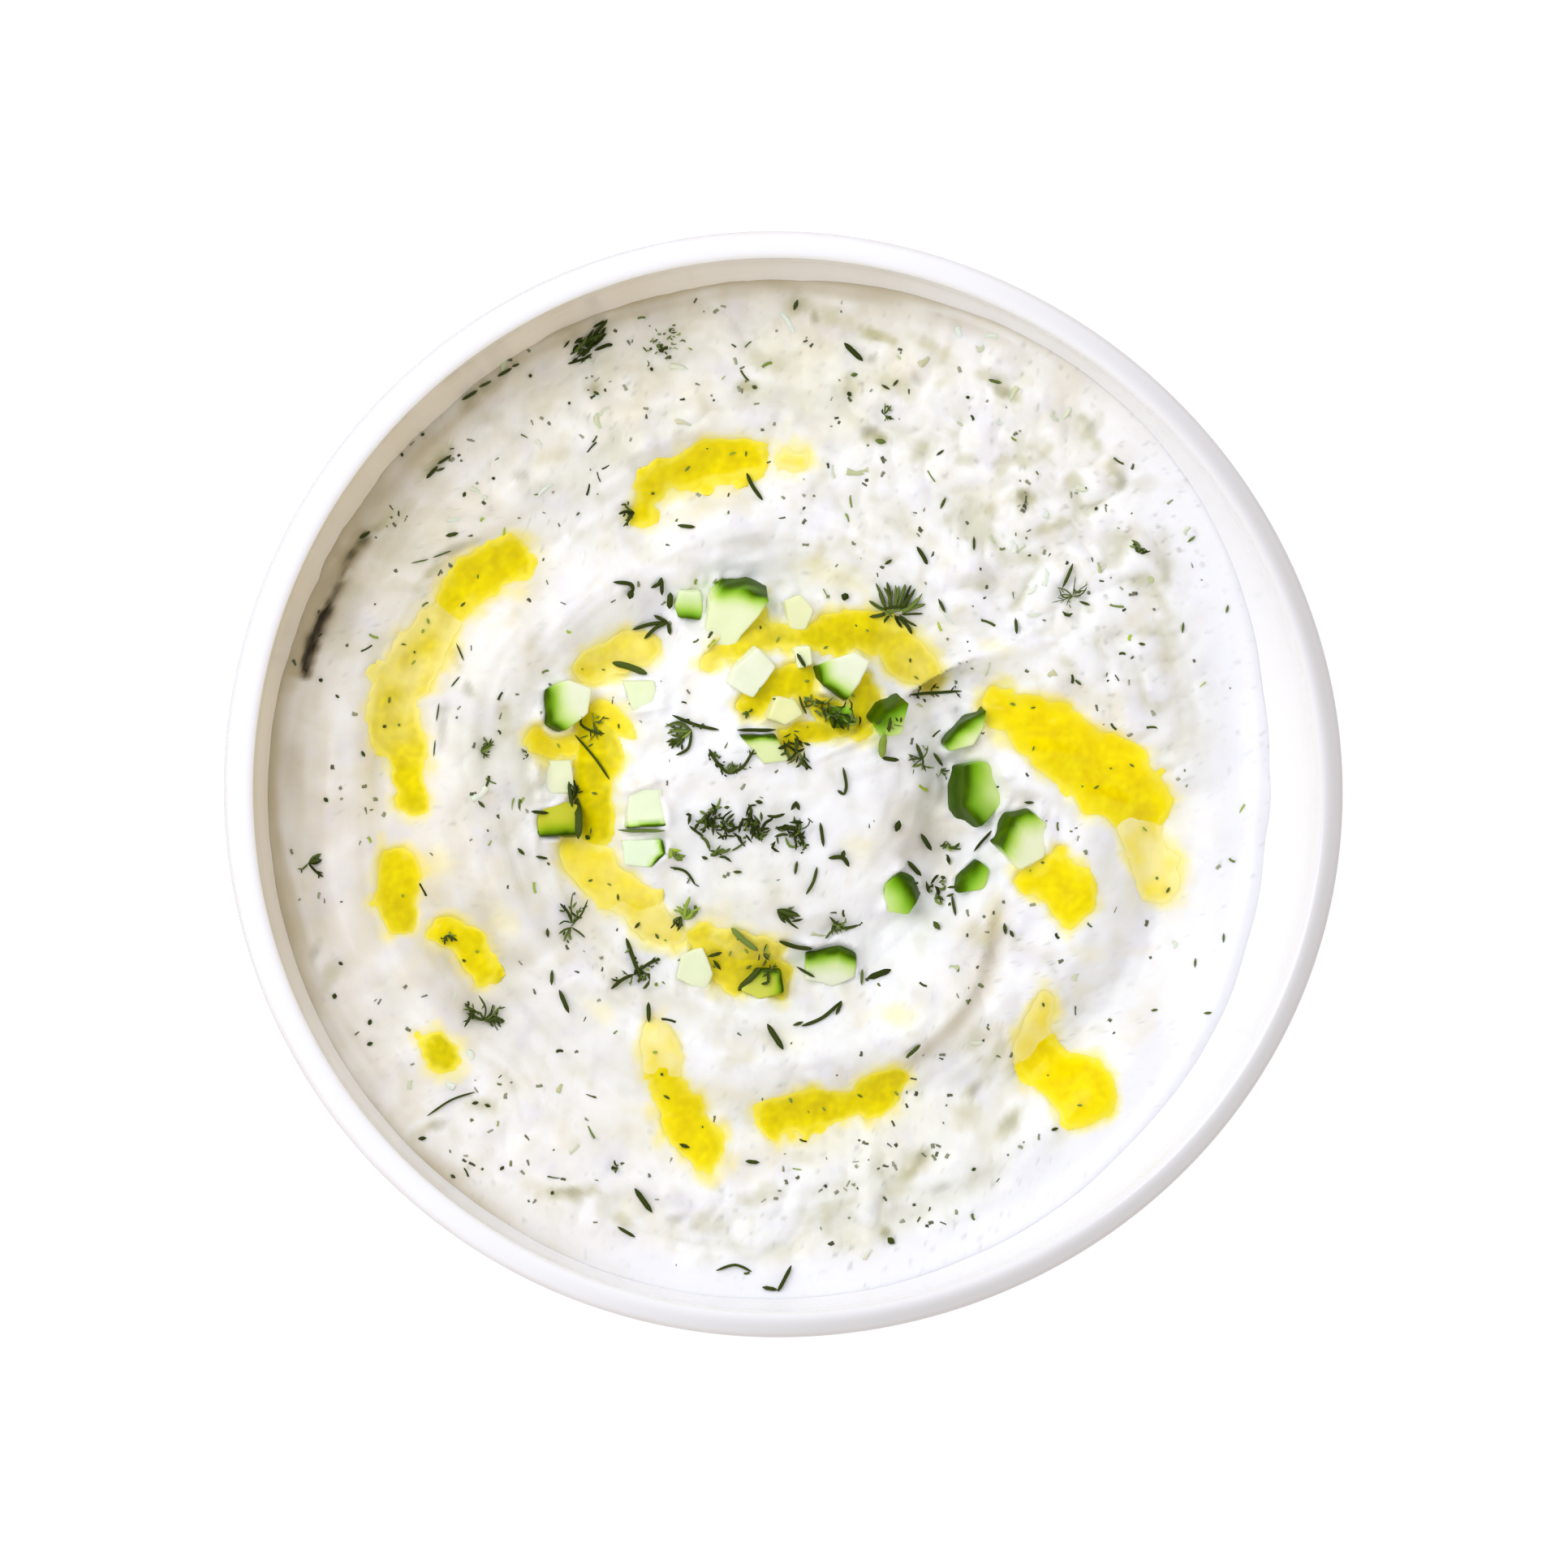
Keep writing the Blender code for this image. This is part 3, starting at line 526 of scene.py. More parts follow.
# Oil pools, as strokes: (share of olive, cloudiness or that at both ends, (degrees, mm from the axis, half
# width)). The dip is pressed in under each one, so the strokes come before the dip's own surface.
POOLS = {
    "oil_back": (
        0.2, 0.0, ((115, 42.8, 1.1), (110, 45.7, 1.9), (103, 46.6, 2.1), (97, 46.7, 2.6), (93, 46.4, 2.2))
    ),
    "oil_back_drop": (0.0, 0.7, ((87, 46.3, 1.2), (84, 46.2, 1.3))),
    "oil_back_left": (0.3, 0.0, ((150, 52.3, 2.3), (144, 51.2, 3.2), (139, 49.4, 2.9))),
    "oil_left": (
        0.5, (0.65, 0.0),
        (
            (154, 52.9, 2.2), (160, 53.9, 3.4), (166, 55.2, 3.2),
            (171, 54.5, 2.8), (176, 52.7, 2.2), (183, 51.9, 1.5),
        ),
    ),
    "oil_left_drop": (0.35, 0.0, ((193, 54.8, 2.3), (197, 56.1, 3.1), (200, 56.7, 2.2))),
    "oil_front_left": (0.35, 0.0, ((205, 51.4, 1.6), (209, 50, 2.1), (214, 49.3, 1.5))),
    "oil_front_left_drop": (0.75, 0.0, ((218, 61.4, 1.7), (220, 61.3, 2))),
    "oil_front": (0.2, 0.0, ((250, 44.8, 1.5), (254, 48.5, 2.2), (257, 52, 3.2), (260, 53.7, 3))),
    "oil_front_right": (
        0.4, 0.0, ((272, 49, 2.2), (277, 48.4, 2.5), (284, 48.6, 1.8), (289, 48.5, 2.6), (293, 47.3, 1.6))
    ),
    "oil_right_front": (0.0, 0.0, ((316, 54.3, 1.8), (314, 60.4, 2.8), (315, 64.3, 4.6))),
    "oil_ridge": (0.15, 0.0, ((338, 40.4, 1.6), (341, 43.9, 3.2), (338, 47.6, 2.5))),
    "oil_right": (
        0.0, 0.0, ((18, 35, 1.6), (11, 39.3, 3.4), (4, 44.9, 5), (-1, 50.4, 5.2), (-4, 54.9, 3.8))
    ),
    "oil_moat_back_left": (0.3, 0.45, ((147, 30.6, 1.7), (141, 28.6, 2.2), (134, 26.0, 1.8))),
    "oil_moat_left": (0.7, 0.0, ((163, 26.3, 2.6), (172, 24.9, 2.8), (182, 25.2, 2.4), (195, 26.4, 2.2))),
    "oil_moat_front_left": (0.1, 0.35, ((201, 29.6, 2.4), (211, 27.5, 2.5), (224, 25.9, 2.3))),
    "oil_moat_back": (
        0.45, (0.0, 0.4), ((68, 23.0, 1.8), (54, 25.6, 2.6), (41, 26.8, 2.6), (30, 28.2, 1.4))
    ),
    "oil_moat_front": (0.65, 0.3, ((250, 24.8, 1.5), (262, 25.0, 1.9), (272, 25.4, 1.5))),
}
STROKE_STEP = 0.4 * MM
OIL_BASIN = 0.5 * MM  # how far the dip lies pressed in under the oil
OIL_SHORE = 1.2 * MM
RAGGED = 0.8 * MM
OIL_SPREAD = 0.5 * MM  # how far the oil crept past its stroke
DRY = 5 * MM  # this far from all oil, or farther


def even_line(xs, ys, halves):
    """(x, y, half width) every fraction of a millimetre along a smooth stroke."""
    length = np.hypot(np.diff(xs), np.diff(ys)).sum()
    position = np.linspace(0, len(xs) - 1, max(3, int(length / STROKE_STEP)))
    return np.stack([smooth_list(values, position) for values in (xs, ys, halves)], axis=1)


def depth_inside(line, x, y):
    """How far points lie inside a stroke's ragged edge; less than zero outside it."""
    depth = np.full(x.shape, -DRY)
    reach = line[:, 2].max() + DRY
    near = (x > line[:, 0].min() - reach) & (x < line[:, 0].max() + reach)
    near &= (y > line[:, 1].min() - reach) & (y < line[:, 1].max() + reach)
    px, py = x[near], y[near]
    best = np.full(px.shape, -DRY)
    for centre_x, centre_y, half in line:
        best = np.maximum(best, half - np.hypot(px - centre_x, py - centre_y))
    ragged = 1.3 * grain(px, py, 5.2 * MM, 21) + 0.7 * grain(px, py, 2.4 * MM, 22)
    ragged += 0.35 * grain(px, py, 1.1 * MM, 23)
    depth[near] = best + OIL_SPREAD + RAGGED * ragged
    return depth


pool_lines = {}
for name, (_, _, rows) in POOLS.items():
    degrees, radii, halves = np.array(rows, float).T
    pool_lines[name] = even_line(*polar(degrees, radii * MM), halves * MM)

# Thinner films of oil that ran in between the cubes, given as (x, y, half width in mm).
FILMS = {
    "oil_film_under_first_cube": (0.3, 0.3, ((-8.6, 17.4, 0.9), (-6.8, 18.4, 1.3))),
    "oil_film_by_first_cube": (
        0.6, 0.1, ((-4.4, 19.6, 1.5), (-1.6, 21.2, 2.2), (1.6, 20.8, 1.9), (4.0, 19.8, 1.2))
    ),
    "oil_film_beside_skin": (0.1, 0.2, ((-1.0, 25.4, 0.9), (-0.4, 22.6, 1.1))),
    "oil_film_between_cubes": (0.55, 0.0, ((5.6, 20.2, 1.5), (8.6, 20.6, 2.2), (12.0, 20.4, 2.0))),
    "oil_film_behind_mound": (
        0.6, 0.0, ((-2.4, 11.4, 1.4), (0.8, 13.8, 2.2), (4.4, 14.6, 2.0), (5.4, 11.4, 1.5))
    ),
    "oil_film_on_mound_edge": (0.6, 0.0, ((2.4, 6.0, 1.2), (4.8, 7.2, 1.6), (8.0, 7.0, 1.1))),
    "oil_film_by_green_cube": (0.6, 0.0, ((13.0, 13.2, 1.6), (13.6, 10.6, 2.0), (12.6, 8.0, 1.5))),
    "oil_film_before_green_cube": (
        0.9, 0.0, ((5.4, 12.2, 1.3), (7.0, 10.4, 1.6), (9.2, 8.8, 1.5), (11.2, 8.0, 1.2))
    ),
    "oil_film_under_skin": (0.0, 0.1, ((-33.4, 6.6, 1.2), (-31.6, 4.8, 1.6), (-28.2, 5.2, 1.5))),
    "oil_film_mound_left": (0.1, 0.1, ((-25.4, 8.4, 1.6), (-22.6, 9.2, 1.7), (-20.6, 7.6, 1.3))),
    "oil_film_front_left": (0.05, 0.8, ((-20.5, -17.4, 1.8), (-16.6, -20.6, 2.1), (-13.6, -23.0, 1.3))),
    "oil_film_front": (0.45, 0.1, ((-9.6, -22.8, 1.6), (-7.4, -25.4, 2.5), (-4.6, -28.6, 2.3))),
    "oil_film_front_cube": (0.5, 0.1, ((-3.4, -27.4, 1.8), (0.6, -27.8, 2.4), (1.4, -29.6, 1.9))),
    "oil_film_front_tail": (0.0, 0.9, ((-16.6, -36.0, 1.2), (-16.0, -39.2, 1.9), (-14.8, -41.6, 1.9))),
    "oil_film_right_tail": (0.0, 1.0, ((53.6, -7.4, 2.4), (56.4, -11.2, 2.5), (57.8, -16.4, 1.7))),
    "oil_film_right_front_tail": (0.0, 0.8, ((40.0, -32.4, 1.4), (39.2, -35.0, 2.0), (38.8, -38.4, 2.2))),
}
for name, (_, _, rows) in FILMS.items():
    pool_lines[name] = even_line(*np.array(rows, float).T * MM)


def oil_depth(x, y):
    """How far points lie inside the nearest pool's edge."""
    depth = np.full(x.shape, -DRY)
    for line in pool_lines.values():
        depth = np.maximum(depth, depth_inside(line, x, y))
    return depth


# Where the cucumber stands, because the dip is pushed up round it: (outline from above in mm, way that the
# skin faces, tip in degrees, rind that shows, how far it sank in mm, tint)
CUBES = (
    (((-8.6, 26.6), (-6.9, 29.2), (-3.2, 29.0), (0.2, 27.5), (-1.3, 24.9), (-3.8, 21.4), (-5.8, 17.4),
        (-8.4, 16.9), (-9.2, 21.8)), 78, 14, 0.8, 0.2, "FCFEEC"),
    (((-13.6, 25.8), (-12.9, 28.2), (-9.6, 28.1), (-9.2, 25.2), (-9.6, 23.0), (-12.9, 23.4)),
        262, -10, 0.9, 0.8, "F8FFEC"),
    (((-2.2, 19.6), (0.9, 16.6), (-2.8, 12.0), (-7.0, 14.2), (-6.2, 16.4)), 126, 4, 0.0, 0.4, "FFFFFF"),
    (((1.8, 25.6), (4.6, 26.6), (6.8, 24.4), (5.4, 21.0), (2.6, 21.2)), 30, -8, 0.0, 1.6, "FFFCE6"),
    (((6.0, 16.4), (12.0, 18.4), (14.5, 17.0), (12.7, 13.6), (10.6, 11.0), (6.8, 13.2)),
        240, 10, 0.7, 0.1, "FFFFFF"),
    (((3.2, 19.2), (5.8, 19.5), (6.2, 16.7), (3.8, 16.1)), 120, 0, 0.0, 1.1, "FFFFEC"),
    (((0.2, 12.4), (3.2, 11.9), (4.4, 9.6), (1.4, 7.9), (-1.4, 8.9)), 200, 6, 0.0, 0.5, "FAF6CE"),
    (((-5.2, 7.2), (0.4, 7.3), (2.5, 3.3), (-1.4, 2.7)), 92, 6, 0.3, 0.7, "F0F6CE"),
    (((13.8, 9.2), (15.6, 11.0), (19.3, 12.0), (18.7, 6.6), (15.6, 6.3)), 140, 14, 1.4, 0.0, "F6FFDC"),
    (((8.0, 10.2), (11.0, 10.8), (11.7, 7.6), (8.6, 7.0)), 240, 16, 1.5, 0.4, "F2FFD4"),
    (((31.8, 10.1), (31.4, 7.0), (29.8, 4.7), (26.0, 3.9), (25.0, 5.3), (27.6, 8.1)),
        129, 6, 0.7, 0.0, "FBFFE8"),
    (((27.3, 1.9), (30.6, 2.6), (34.9, -0.2), (34.2, -3.8), (30.0, -7.8), (26.8, -4.6)),
        206, 17, 1.8, -0.2, "F4FBE0"),
    (((34.0, -4.9), (37.4, -4.1), (40.4, -6.4), (40.0, -11.4), (35.6, -12.8), (32.2, -9.2)),
        143, 14, 0.9, 0.6, "FFFFF2"),
    (((29.8, -11.3), (32.0, -13.0), (31.2, -16.0), (26.6, -16.3), (27.0, -14.2)),
        146, 12, 1.6, 0.1, "F4FFDC"),
    (((17.3, -14.4), (19.6, -12.5), (21.6, -14.4), (22.4, -17.2), (20.9, -19.4), (17.0, -19.2)),
        50, 22, 1.6, -0.3, "F4FCE4"),
    (((5.7, -24.0), (10.6, -23.0), (13.2, -24.6), (13.0, -28.4), (9.6, -30.2), (5.6, -28.6)),
        82, 18, 0.9, 0.5, "FFFFFF"),
    (((-1.4, -27.0), (2.6, -27.2), (3.0, -30.8), (-0.8, -31.9), (-3.8, -30.6)),
        30, 6, 0.6, 1.3, "DEDC66"),
    (((-12.6, -24.8), (-9.4, -23.8), (-7.6, -28.0), (-8.8, -30.9), (-13.4, -28.8)),
        300, -4, 0.0, 1.6, "FAFCF0"),
    (((-33.4, 13.2), (-29.6, 14.8), (-25.9, 13.4), (-26.6, 9.4), (-30.4, 6.5), (-32.9, 7.8)),
        203, 16, 0.9, 0.0, "FFFFFA"),
    (((-21.4, 14.6), (-16.4, 14.8), (-15.6, 10.8), (-19.8, 10.0)), 60, 4, 0.0, 2.0, "F8FDEC"),
    (((-33.8, 3.0), (-28.2, 3.2), (-27.8, -2.0), (-33.2, -2.3)), 170, 0, 0.0, 1.8, "FCFCF0"),
    (((-33.9, -4.2), (-29.6, -2.8), (-27.4, -3.6), (-27.2, -8.4), (-33.6, -8.8)),
        250, 10, 0.6, 0.6, "D6D244"),
    (((-20.8, -1.4), (-15.6, 0.6), (-15.0, -6.7), (-21.2, -7.0)), 268, 4, 0.16, 1.9, "FBFFF6"),
    (((-21.6, -8.2), (-15.4, -8.0), (-14.8, -10.4), (-17.0, -12.6), (-21.0, -12.2)),
        0, 6, 0.2, 1.6, "F6FFFA"),
)
BANK_RISE, BANK_WIDTH, BANK_REACH = 1.4 * MM, 1.0 * MM, 12 * MM


def edge_distance(corners, x, y, chosen=None):
    """Distance from points to the nearest side of an outline, or to the nearest of the chosen sides."""
    nearest = np.full(np.shape(x), BOWL_RADIUS)
    for side in range(len(corners)) if chosen is None else chosen:
        (ax, ay), (bx, by) = corners[side], corners[(side + 1) % len(corners)]
        along = ((x - ax) * (bx - ax) + (y - ay) * (by - ay)) / ((bx - ax) ** 2 + (by - ay) ** 2)
        along = np.clip(along, 0, 1)
        nearest = np.minimum(nearest, np.hypot(x - ax - along * (bx - ax), y - ay - along * (by - ay)))
    return nearest


def bank(x, y):
    """How far the dip is pushed up round each cube."""
    rise = np.zeros(x.shape)
    for number, (outline, *_) in enumerate(CUBES):
        corners = np.array(outline) * MM
        centre_x, centre_y = corners.mean(axis=0)
        near = np.hypot(x - centre_x, y - centre_y) < BANK_REACH
        uneven = np.clip(0.75 + 1.1 * grain(x[near], y[near], 2.6 * MM, 200 + number), 0, 1.6)
        away = edge_distance(corners, x[near], y[near])
        rise[near] = np.maximum(rise[near], BANK_RISE * uneven * np.exp(-away / BANK_WIDTH))
    return rise


# Where the surface is curdy, and where it was smeared smooth: (x, y, reach in mm, amount).
CURDY = (
    (42, 38, 21, 0.8), (8, 60, 17, 0.25), (62, 8, 14, 0.25), (10, -58, 20, 0.4), (-22, 56, 16, 0.3),
    (-48, 30, 12, 0.3), (40, -32, 14, 0.3), (-62, -12, 15, -0.3), (70, -30, 16, -0.35),
)
CREASE = ((-66, 45.9), (-62, 44.8), (-44, 42.1), (-31, 37.7))  # (degrees, mm), a fold over the groove
CREASE_RISE = 1.1 * MM
CREVICE = (146, 168)  # degrees, where the dip has come away from the wall
CREVICE_WIDENS, CREVICE_DARKENS = 155, 152
CREVICE_INSET = 2.7 * MM
CREVICE_DEPTH, CREVICE_WIDTH = 2.6 * MM, 0.6 * MM
FILM_RISE, FILM_WIDTH = 2.6 * MM, 2.0 * MM  # dip smeared thinly up the wall
FILM_SIDE, WIPED_SIDE = -20, -38  # degrees round from +X, where the spoon smeared and wiped it most
SMEAR_ROWS, SMEAR_CELLS = 512, 22  # smear lines out from the axis, and their lengths round the bowl
SMEAR_SIZE, SMEAR_RISE = 1.0 * MM, 0.18 * MM
DRAG_SIZE, DRAG_RISE = 3.2 * MM, 0.52 * MM
CURD_SIZE, CURD_RISE = 6.4 * MM, 0.64 * MM
SMALL_CURD_SIZE, SMALL_CURD_RISE = 2.6 * MM, 0.19 * MM
CRUMB_SIZE, CRUMB_RISE = 1.3 * MM, 0.08 * MM


def spot(x, y, centre_x, centre_y, reach):
    """1 at a point given in millimetres, falling off to nothing at about twice the reach."""
    return bell(np.hypot(x - centre_x * MM, y - centre_y * MM), reach * MM)


def region(x, y, rows, base):
    """A base amount, plus what each soft-edged region adds to it."""
    amount = np.full(x.shape, float(base))
    for *place, extra in rows:
        amount += extra * spot(x, y, *place)
    return amount


def smear(x, y, size, seed):
    """Fine lines that run round the bowl, as a turning spoon drags them."""
    table = np.random.default_rng(seed).uniform(-1, 1, (SMEAR_ROWS, SMEAR_CELLS))
    radius = np.hypot(x, y) + 2.2 * MM * grain(x, y, 24 * MM, seed + 1)
    turn = (np.arctan2(y, x) / math.tau % 1) * SMEAR_CELLS
    row, column = np.floor(radius / size).astype(int), np.floor(turn).astype(int)
    a, b = smooth_step(radius / size - row), smooth_step(turn - column)
    here, after = column % SMEAR_CELLS, (column + 1) % SMEAR_CELLS
    low, high = row % SMEAR_ROWS, (row + 1) % SMEAR_ROWS
    near = table[low, here] * (1 - b) + table[low, after] * b
    far = table[high, here] * (1 - b) + table[high, after] * b
    return near * (1 - a) + far * a


def crevice(x, y):
    """(how far the crevice is open there, distance from its middle)."""
    angle = np.arctan2(y, x)
    turn = np.degrees(angle) % 360
    opened = smooth_step((turn - CREVICE[0]) / 6) * smooth_step((CREVICE[1] - turn) / 2.5)
    widest = smooth_step((turn - CREVICE_WIDENS) / 5)
    opened *= np.clip(0.35 + 0.65 * widest + 0.5 * grain(x, y, 2.2 * MM, 52), 0, 1)
    wander = MM * (0.7 * grain(x, y, 5 * MM, 51) + 0.3 * grain(x, y, 1.8 * MM, 53))
    middle = edge_radius(angle) - CREVICE_INSET + wander
    return opened, np.hypot(x, y) - middle


def crease_offset(x, y):
    """(distance outwards from the crease, how strong it is there)."""
    turn, radius = np.degrees(np.arctan2(y, x)), np.hypot(x, y)
    line = np.array(CREASE, float)
    middle = np.interp(turn, line[:, 0], line[:, 1]) * MM
    strength = smooth_step((turn - line[0, 0] + 6) / 8) * smooth_step((line[-1, 0] + 6 - turn) / 8)
    return radius - middle, strength


def wiped(x, y):
    """0 over most of the dip, 1 where the spoon wiped it smooth up the wall on the right and in front."""
    angle = np.arctan2(y, x)
    inset = edge_radius(angle) - np.hypot(x, y)
    wide = (6 + 3 * np.cos(angle - math.radians(5)) + 1.5 * grain(x, y, 11 * MM, 46)) * MM
    return towards(angle, WIPED_SIDE, 0.3, 1.3) * smooth_step(1.25 - inset / wide)


def curds(x, y, size, seed):
    """Rounded lumps with creases between them, about 1 high."""
    bend_x = x + 0.45 * size * grain(x, y, 1.3 * size, seed + 1)
    bend_y = y + 0.45 * size * grain(x, y, 1.3 * size, seed + 2)
    return 2.2 * abs(grain(bend_x, bend_y, size, seed)) ** 0.9 - 0.7


def dip_relief(x, y):
    """Curds, small lumps and smears, about zero on average."""
    curdy = np.clip(region(x, y, CURDY, 0.36), 0.05, 1.3)
    relief = CURD_RISE * curds(x, y, CURD_SIZE, 31) * curdy
    small = curds(0.8 * x - 0.6 * y, 0.6 * x + 0.8 * y, SMALL_CURD_SIZE, 34)
    crumbs = grain(0.6 * x + 0.8 * y, 0.8 * y - 0.6 * x, CRUMB_SIZE, 37)
    relief += SMALL_CURD_RISE * small * curdy + CRUMB_RISE * crumbs * (0.3 + curdy)
    relief += (0.60 * grain(x, y, 8 * MM, 38) + 0.25 * grain(x, y, 3.8 * MM, 39)) * MM
    round_bowl = smooth_step(np.hypot(x, y) / (24 * MM) - 0.2)
    relief += SMEAR_RISE * smear(x, y, SMEAR_SIZE, 41) * round_bowl
    relief += DRAG_RISE * smear(x, y, DRAG_SIZE, 43) * round_bowl
    inset = inner_radius(np.arctan2(y, x), LEVEL) - np.hypot(x, y)
    return relief * (1 - 0.9 * wiped(x, y)) * (0.25 + 0.75 * smooth_step(inset / (4 * MM)))


def dip_height(x, y, oil=None):
    """Height of the finished surface: spread shape, relief, crease, crevice, banks and pressed-in pools."""
    oil = oil_depth(x, y) if oil is None else oil
    angle, radius = np.arctan2(y, x), np.hypot(x, y)
    relief = (dip_relief(x, y) + bank(x, y)) * (1 - 0.85 * smooth_step(oil / MM + 0.6))
    offset, strength = crease_offset(x, y)
    scarp = bell(np.minimum(offset, 0), 8 * MM) * smooth_step(0.5 - offset / (1.3 * MM))
    scarp -= 0.4 * bell(offset - 1.6 * MM, 1.3 * MM)
    height = spread_height(x, y) + relief + CREASE_RISE * strength * scarp
    opened, off_crack = crevice(x, y)
    height -= CREVICE_DEPTH * opened * bell(off_crack, CREVICE_WIDTH)
    height -= OIL_BASIN * smooth_step(oil / OIL_SHORE + 0.3)
    far_side = towards(angle, FILM_SIDE, 0.5, 0.9)
    film = np.exp(-np.clip(edge_radius(angle) - radius, 0, 1) / FILM_WIDTH)
    film *= 1 + 0.25 * grain(x, y, 12 * MM, 45)
    return height + FILM_RISE * (0.15 + 0.85 * far_side) * film * (1 - opened)


def grid_faces(index):
    """The four corners of each cell in a grid of point numbers."""
    return np.stack([index[:-1, :-1], index[:-1, 1:], index[1:, 1:], index[1:, :-1]], axis=2)


def disc_grid(count):
    """A square grid of points pressed into a unit disc, row by row."""
    a, b = np.meshgrid(np.linspace(-1, 1, count), np.linspace(-1, 1, count))
    wide = abs(a) > abs(b)
    radius = np.where(wide, a, b)
    whole = np.where(radius == 0, 1, radius)
    turn = np.where(wide, math.pi / 4 * b / whole, math.pi / 2 - math.pi / 4 * a / whole)
    return (radius * np.cos(turn)).ravel(), (radius * np.sin(turn)).ravel()


unit_x, unit_y = disc_grid(DIP_CELLS)
turn = np.arctan2(unit_y, unit_x)
met = edge_radius(turn)  # where it would meet the wall, but for the film smeared up it
film_height = dip_height(met * np.cos(turn), met * np.sin(turn))
dip_radius = inner_radius(turn, film_height) + WALL_REACH
x, y = unit_x * dip_radius, unit_y * dip_radius
dip_oil = oil_depth(x, y)
dip_top = np.stack([x, y, dip_height(x, y, dip_oil)], axis=1)
index = np.arange(DIP_CELLS**2).reshape(DIP_CELLS, DIP_CELLS)
rim = np.concatenate([index[0, :-1], index[:-1, -1], index[-1, :0:-1], index[:0:-1, 0]])
rim_turn = np.arctan2(unit_y[rim], unit_x[rim])
levels, dip_faces, upper = [dip_top], grid_faces(index).reshape(-1, 4).tolist(), rim
for share in np.linspace(0, 1, UNDER_LEVELS + 1)[1:]:
    height = dip_top[rim, 2] * (1 - share) + DIP_BOTTOM * share
    radius = inner_radius(rim_turn, height) - WALL_REACH
    lower = np.arange(len(rim)) + sum(len(level) for level in levels)
    levels.append(np.stack([radius * np.cos(rim_turn), radius * np.sin(rim_turn), height], axis=1))
    dip_faces += np.stack([upper, lower, np.roll(lower, -1), np.roll(upper, -1)], axis=1).tolist()
    upper = lower
bottom = sum(len(level) for level in levels)
levels.append([(0, 0, DIP_BOTTOM)])
dip_faces += [(bottom, b, a) for a, b in zip(upper.tolist(), np.roll(upper, -1).tolist())]
dip_points = np.concatenate(levels)

# Strained yogurt: off-white and moist, dense enough to keep the spoon's marks. Light goes a little way in
# and softens its shadows. Cucumber juice and oil tint it, and minced dill in it shows as grey flecks. Shade
# is
# painted on it too: in patches, in its hollows, along the crease, by the wall on the window's side and in
# the crevice.
YOGURT = linear("FCFCFB")
# Soft patches: a few are tints of juice, most are painted shade, such as the rim's shadow over the left,
# the shaded right side of the mound, the low side of the crease, and darker patches over the right and the
# front.
TINTS_AND_SHADE = (
    (-60, -8, 22, "E5DBCA", 0.72), (-56, 34, 20, "E0D8BE", 0.9), (-50, -42, 18, "F0EADE", 0.7),
    (8, 60, 15, "E8E4C6", 0.7), (-24, 60, 16, "E2DDC2", 0.8), (42, 52, 13, "E9E3D0", 0.55),
    (34, 36, 16, "F2F1E6", 0.5), (-38, 4, 9, "DDDCC8", 0.8), (20, -60, 22, "E9E9DC", 0.85),
    (-26, -60, 15, "EBE6DA", 0.7), (56, -28, 22, "EAE9E6", 0.85), (62, 10, 20, "E3E2DA", 0.7),
    (-4, -42, 16, "EFEFEA", 0.7), (-2, -18, 9, "E4E3D0", 0.8), (-42, -22, 12, "D2CCB8", 1.0),
    (22, -7, 6, "D9D0C0", 0.8), (30, -24, 4.5, "D6CDB4", 0.7), (27, -33, 5, "D8D2B8", 0.5),
)  # (x, y, reach in mm, colour, share)
COOL_PATCH = linear("E2DFE8")
WARM_PATCH = linear("E7E0CB")
WIPED = linear("F3F3F7")
STAINS = (
    (3.5, 46, 3.2, 1.6, 0, 0.55), (59, -15, 3.0, 5.5, 0, 0.55), (40, -34, 2.4, 5.5, 15, 0.45),
    (-16.5, -39.5, 3.0, 4.0, 25, 0.55), (33, 19, 3.4, 1.2, -10, 0.3), (-25, -33, 3.5, 1.8, -40, 0.28),
    (18.5, -34, 3.6, 2.0, 5, 0.45), (-48, -11.5, 2.4, 3.0, 0, 0.4), (-39, -20, 2.4, 3.2, 20, 0.3),
    (12.5, -10, 3.0, 3.4, 40, 0.22), (32.5, -20.5, 1.6, 4.5, -10, 0.3), (-20, 20.5, 3.6, 1.6, 25, 0.5),
    (-8, -22, 4.5, 4.0, -30, 0.42), (2, -38, 4.5, 2.0, 0, 0.16), (46.5, -25.5, 3.0, 2.0, 0, 0.2),
    (10, 29, 7.0, 2.6, -25, 0.30), (-31, 3, 3.2, 3.2, 0, 0.28), (-19, -9, 3.6, 3.0, 0, 0.2),
)  # oil soaked in: (x, y, half length, half width in mm, heading in degrees, share)
OIL_PALE = linear("FEF18C")
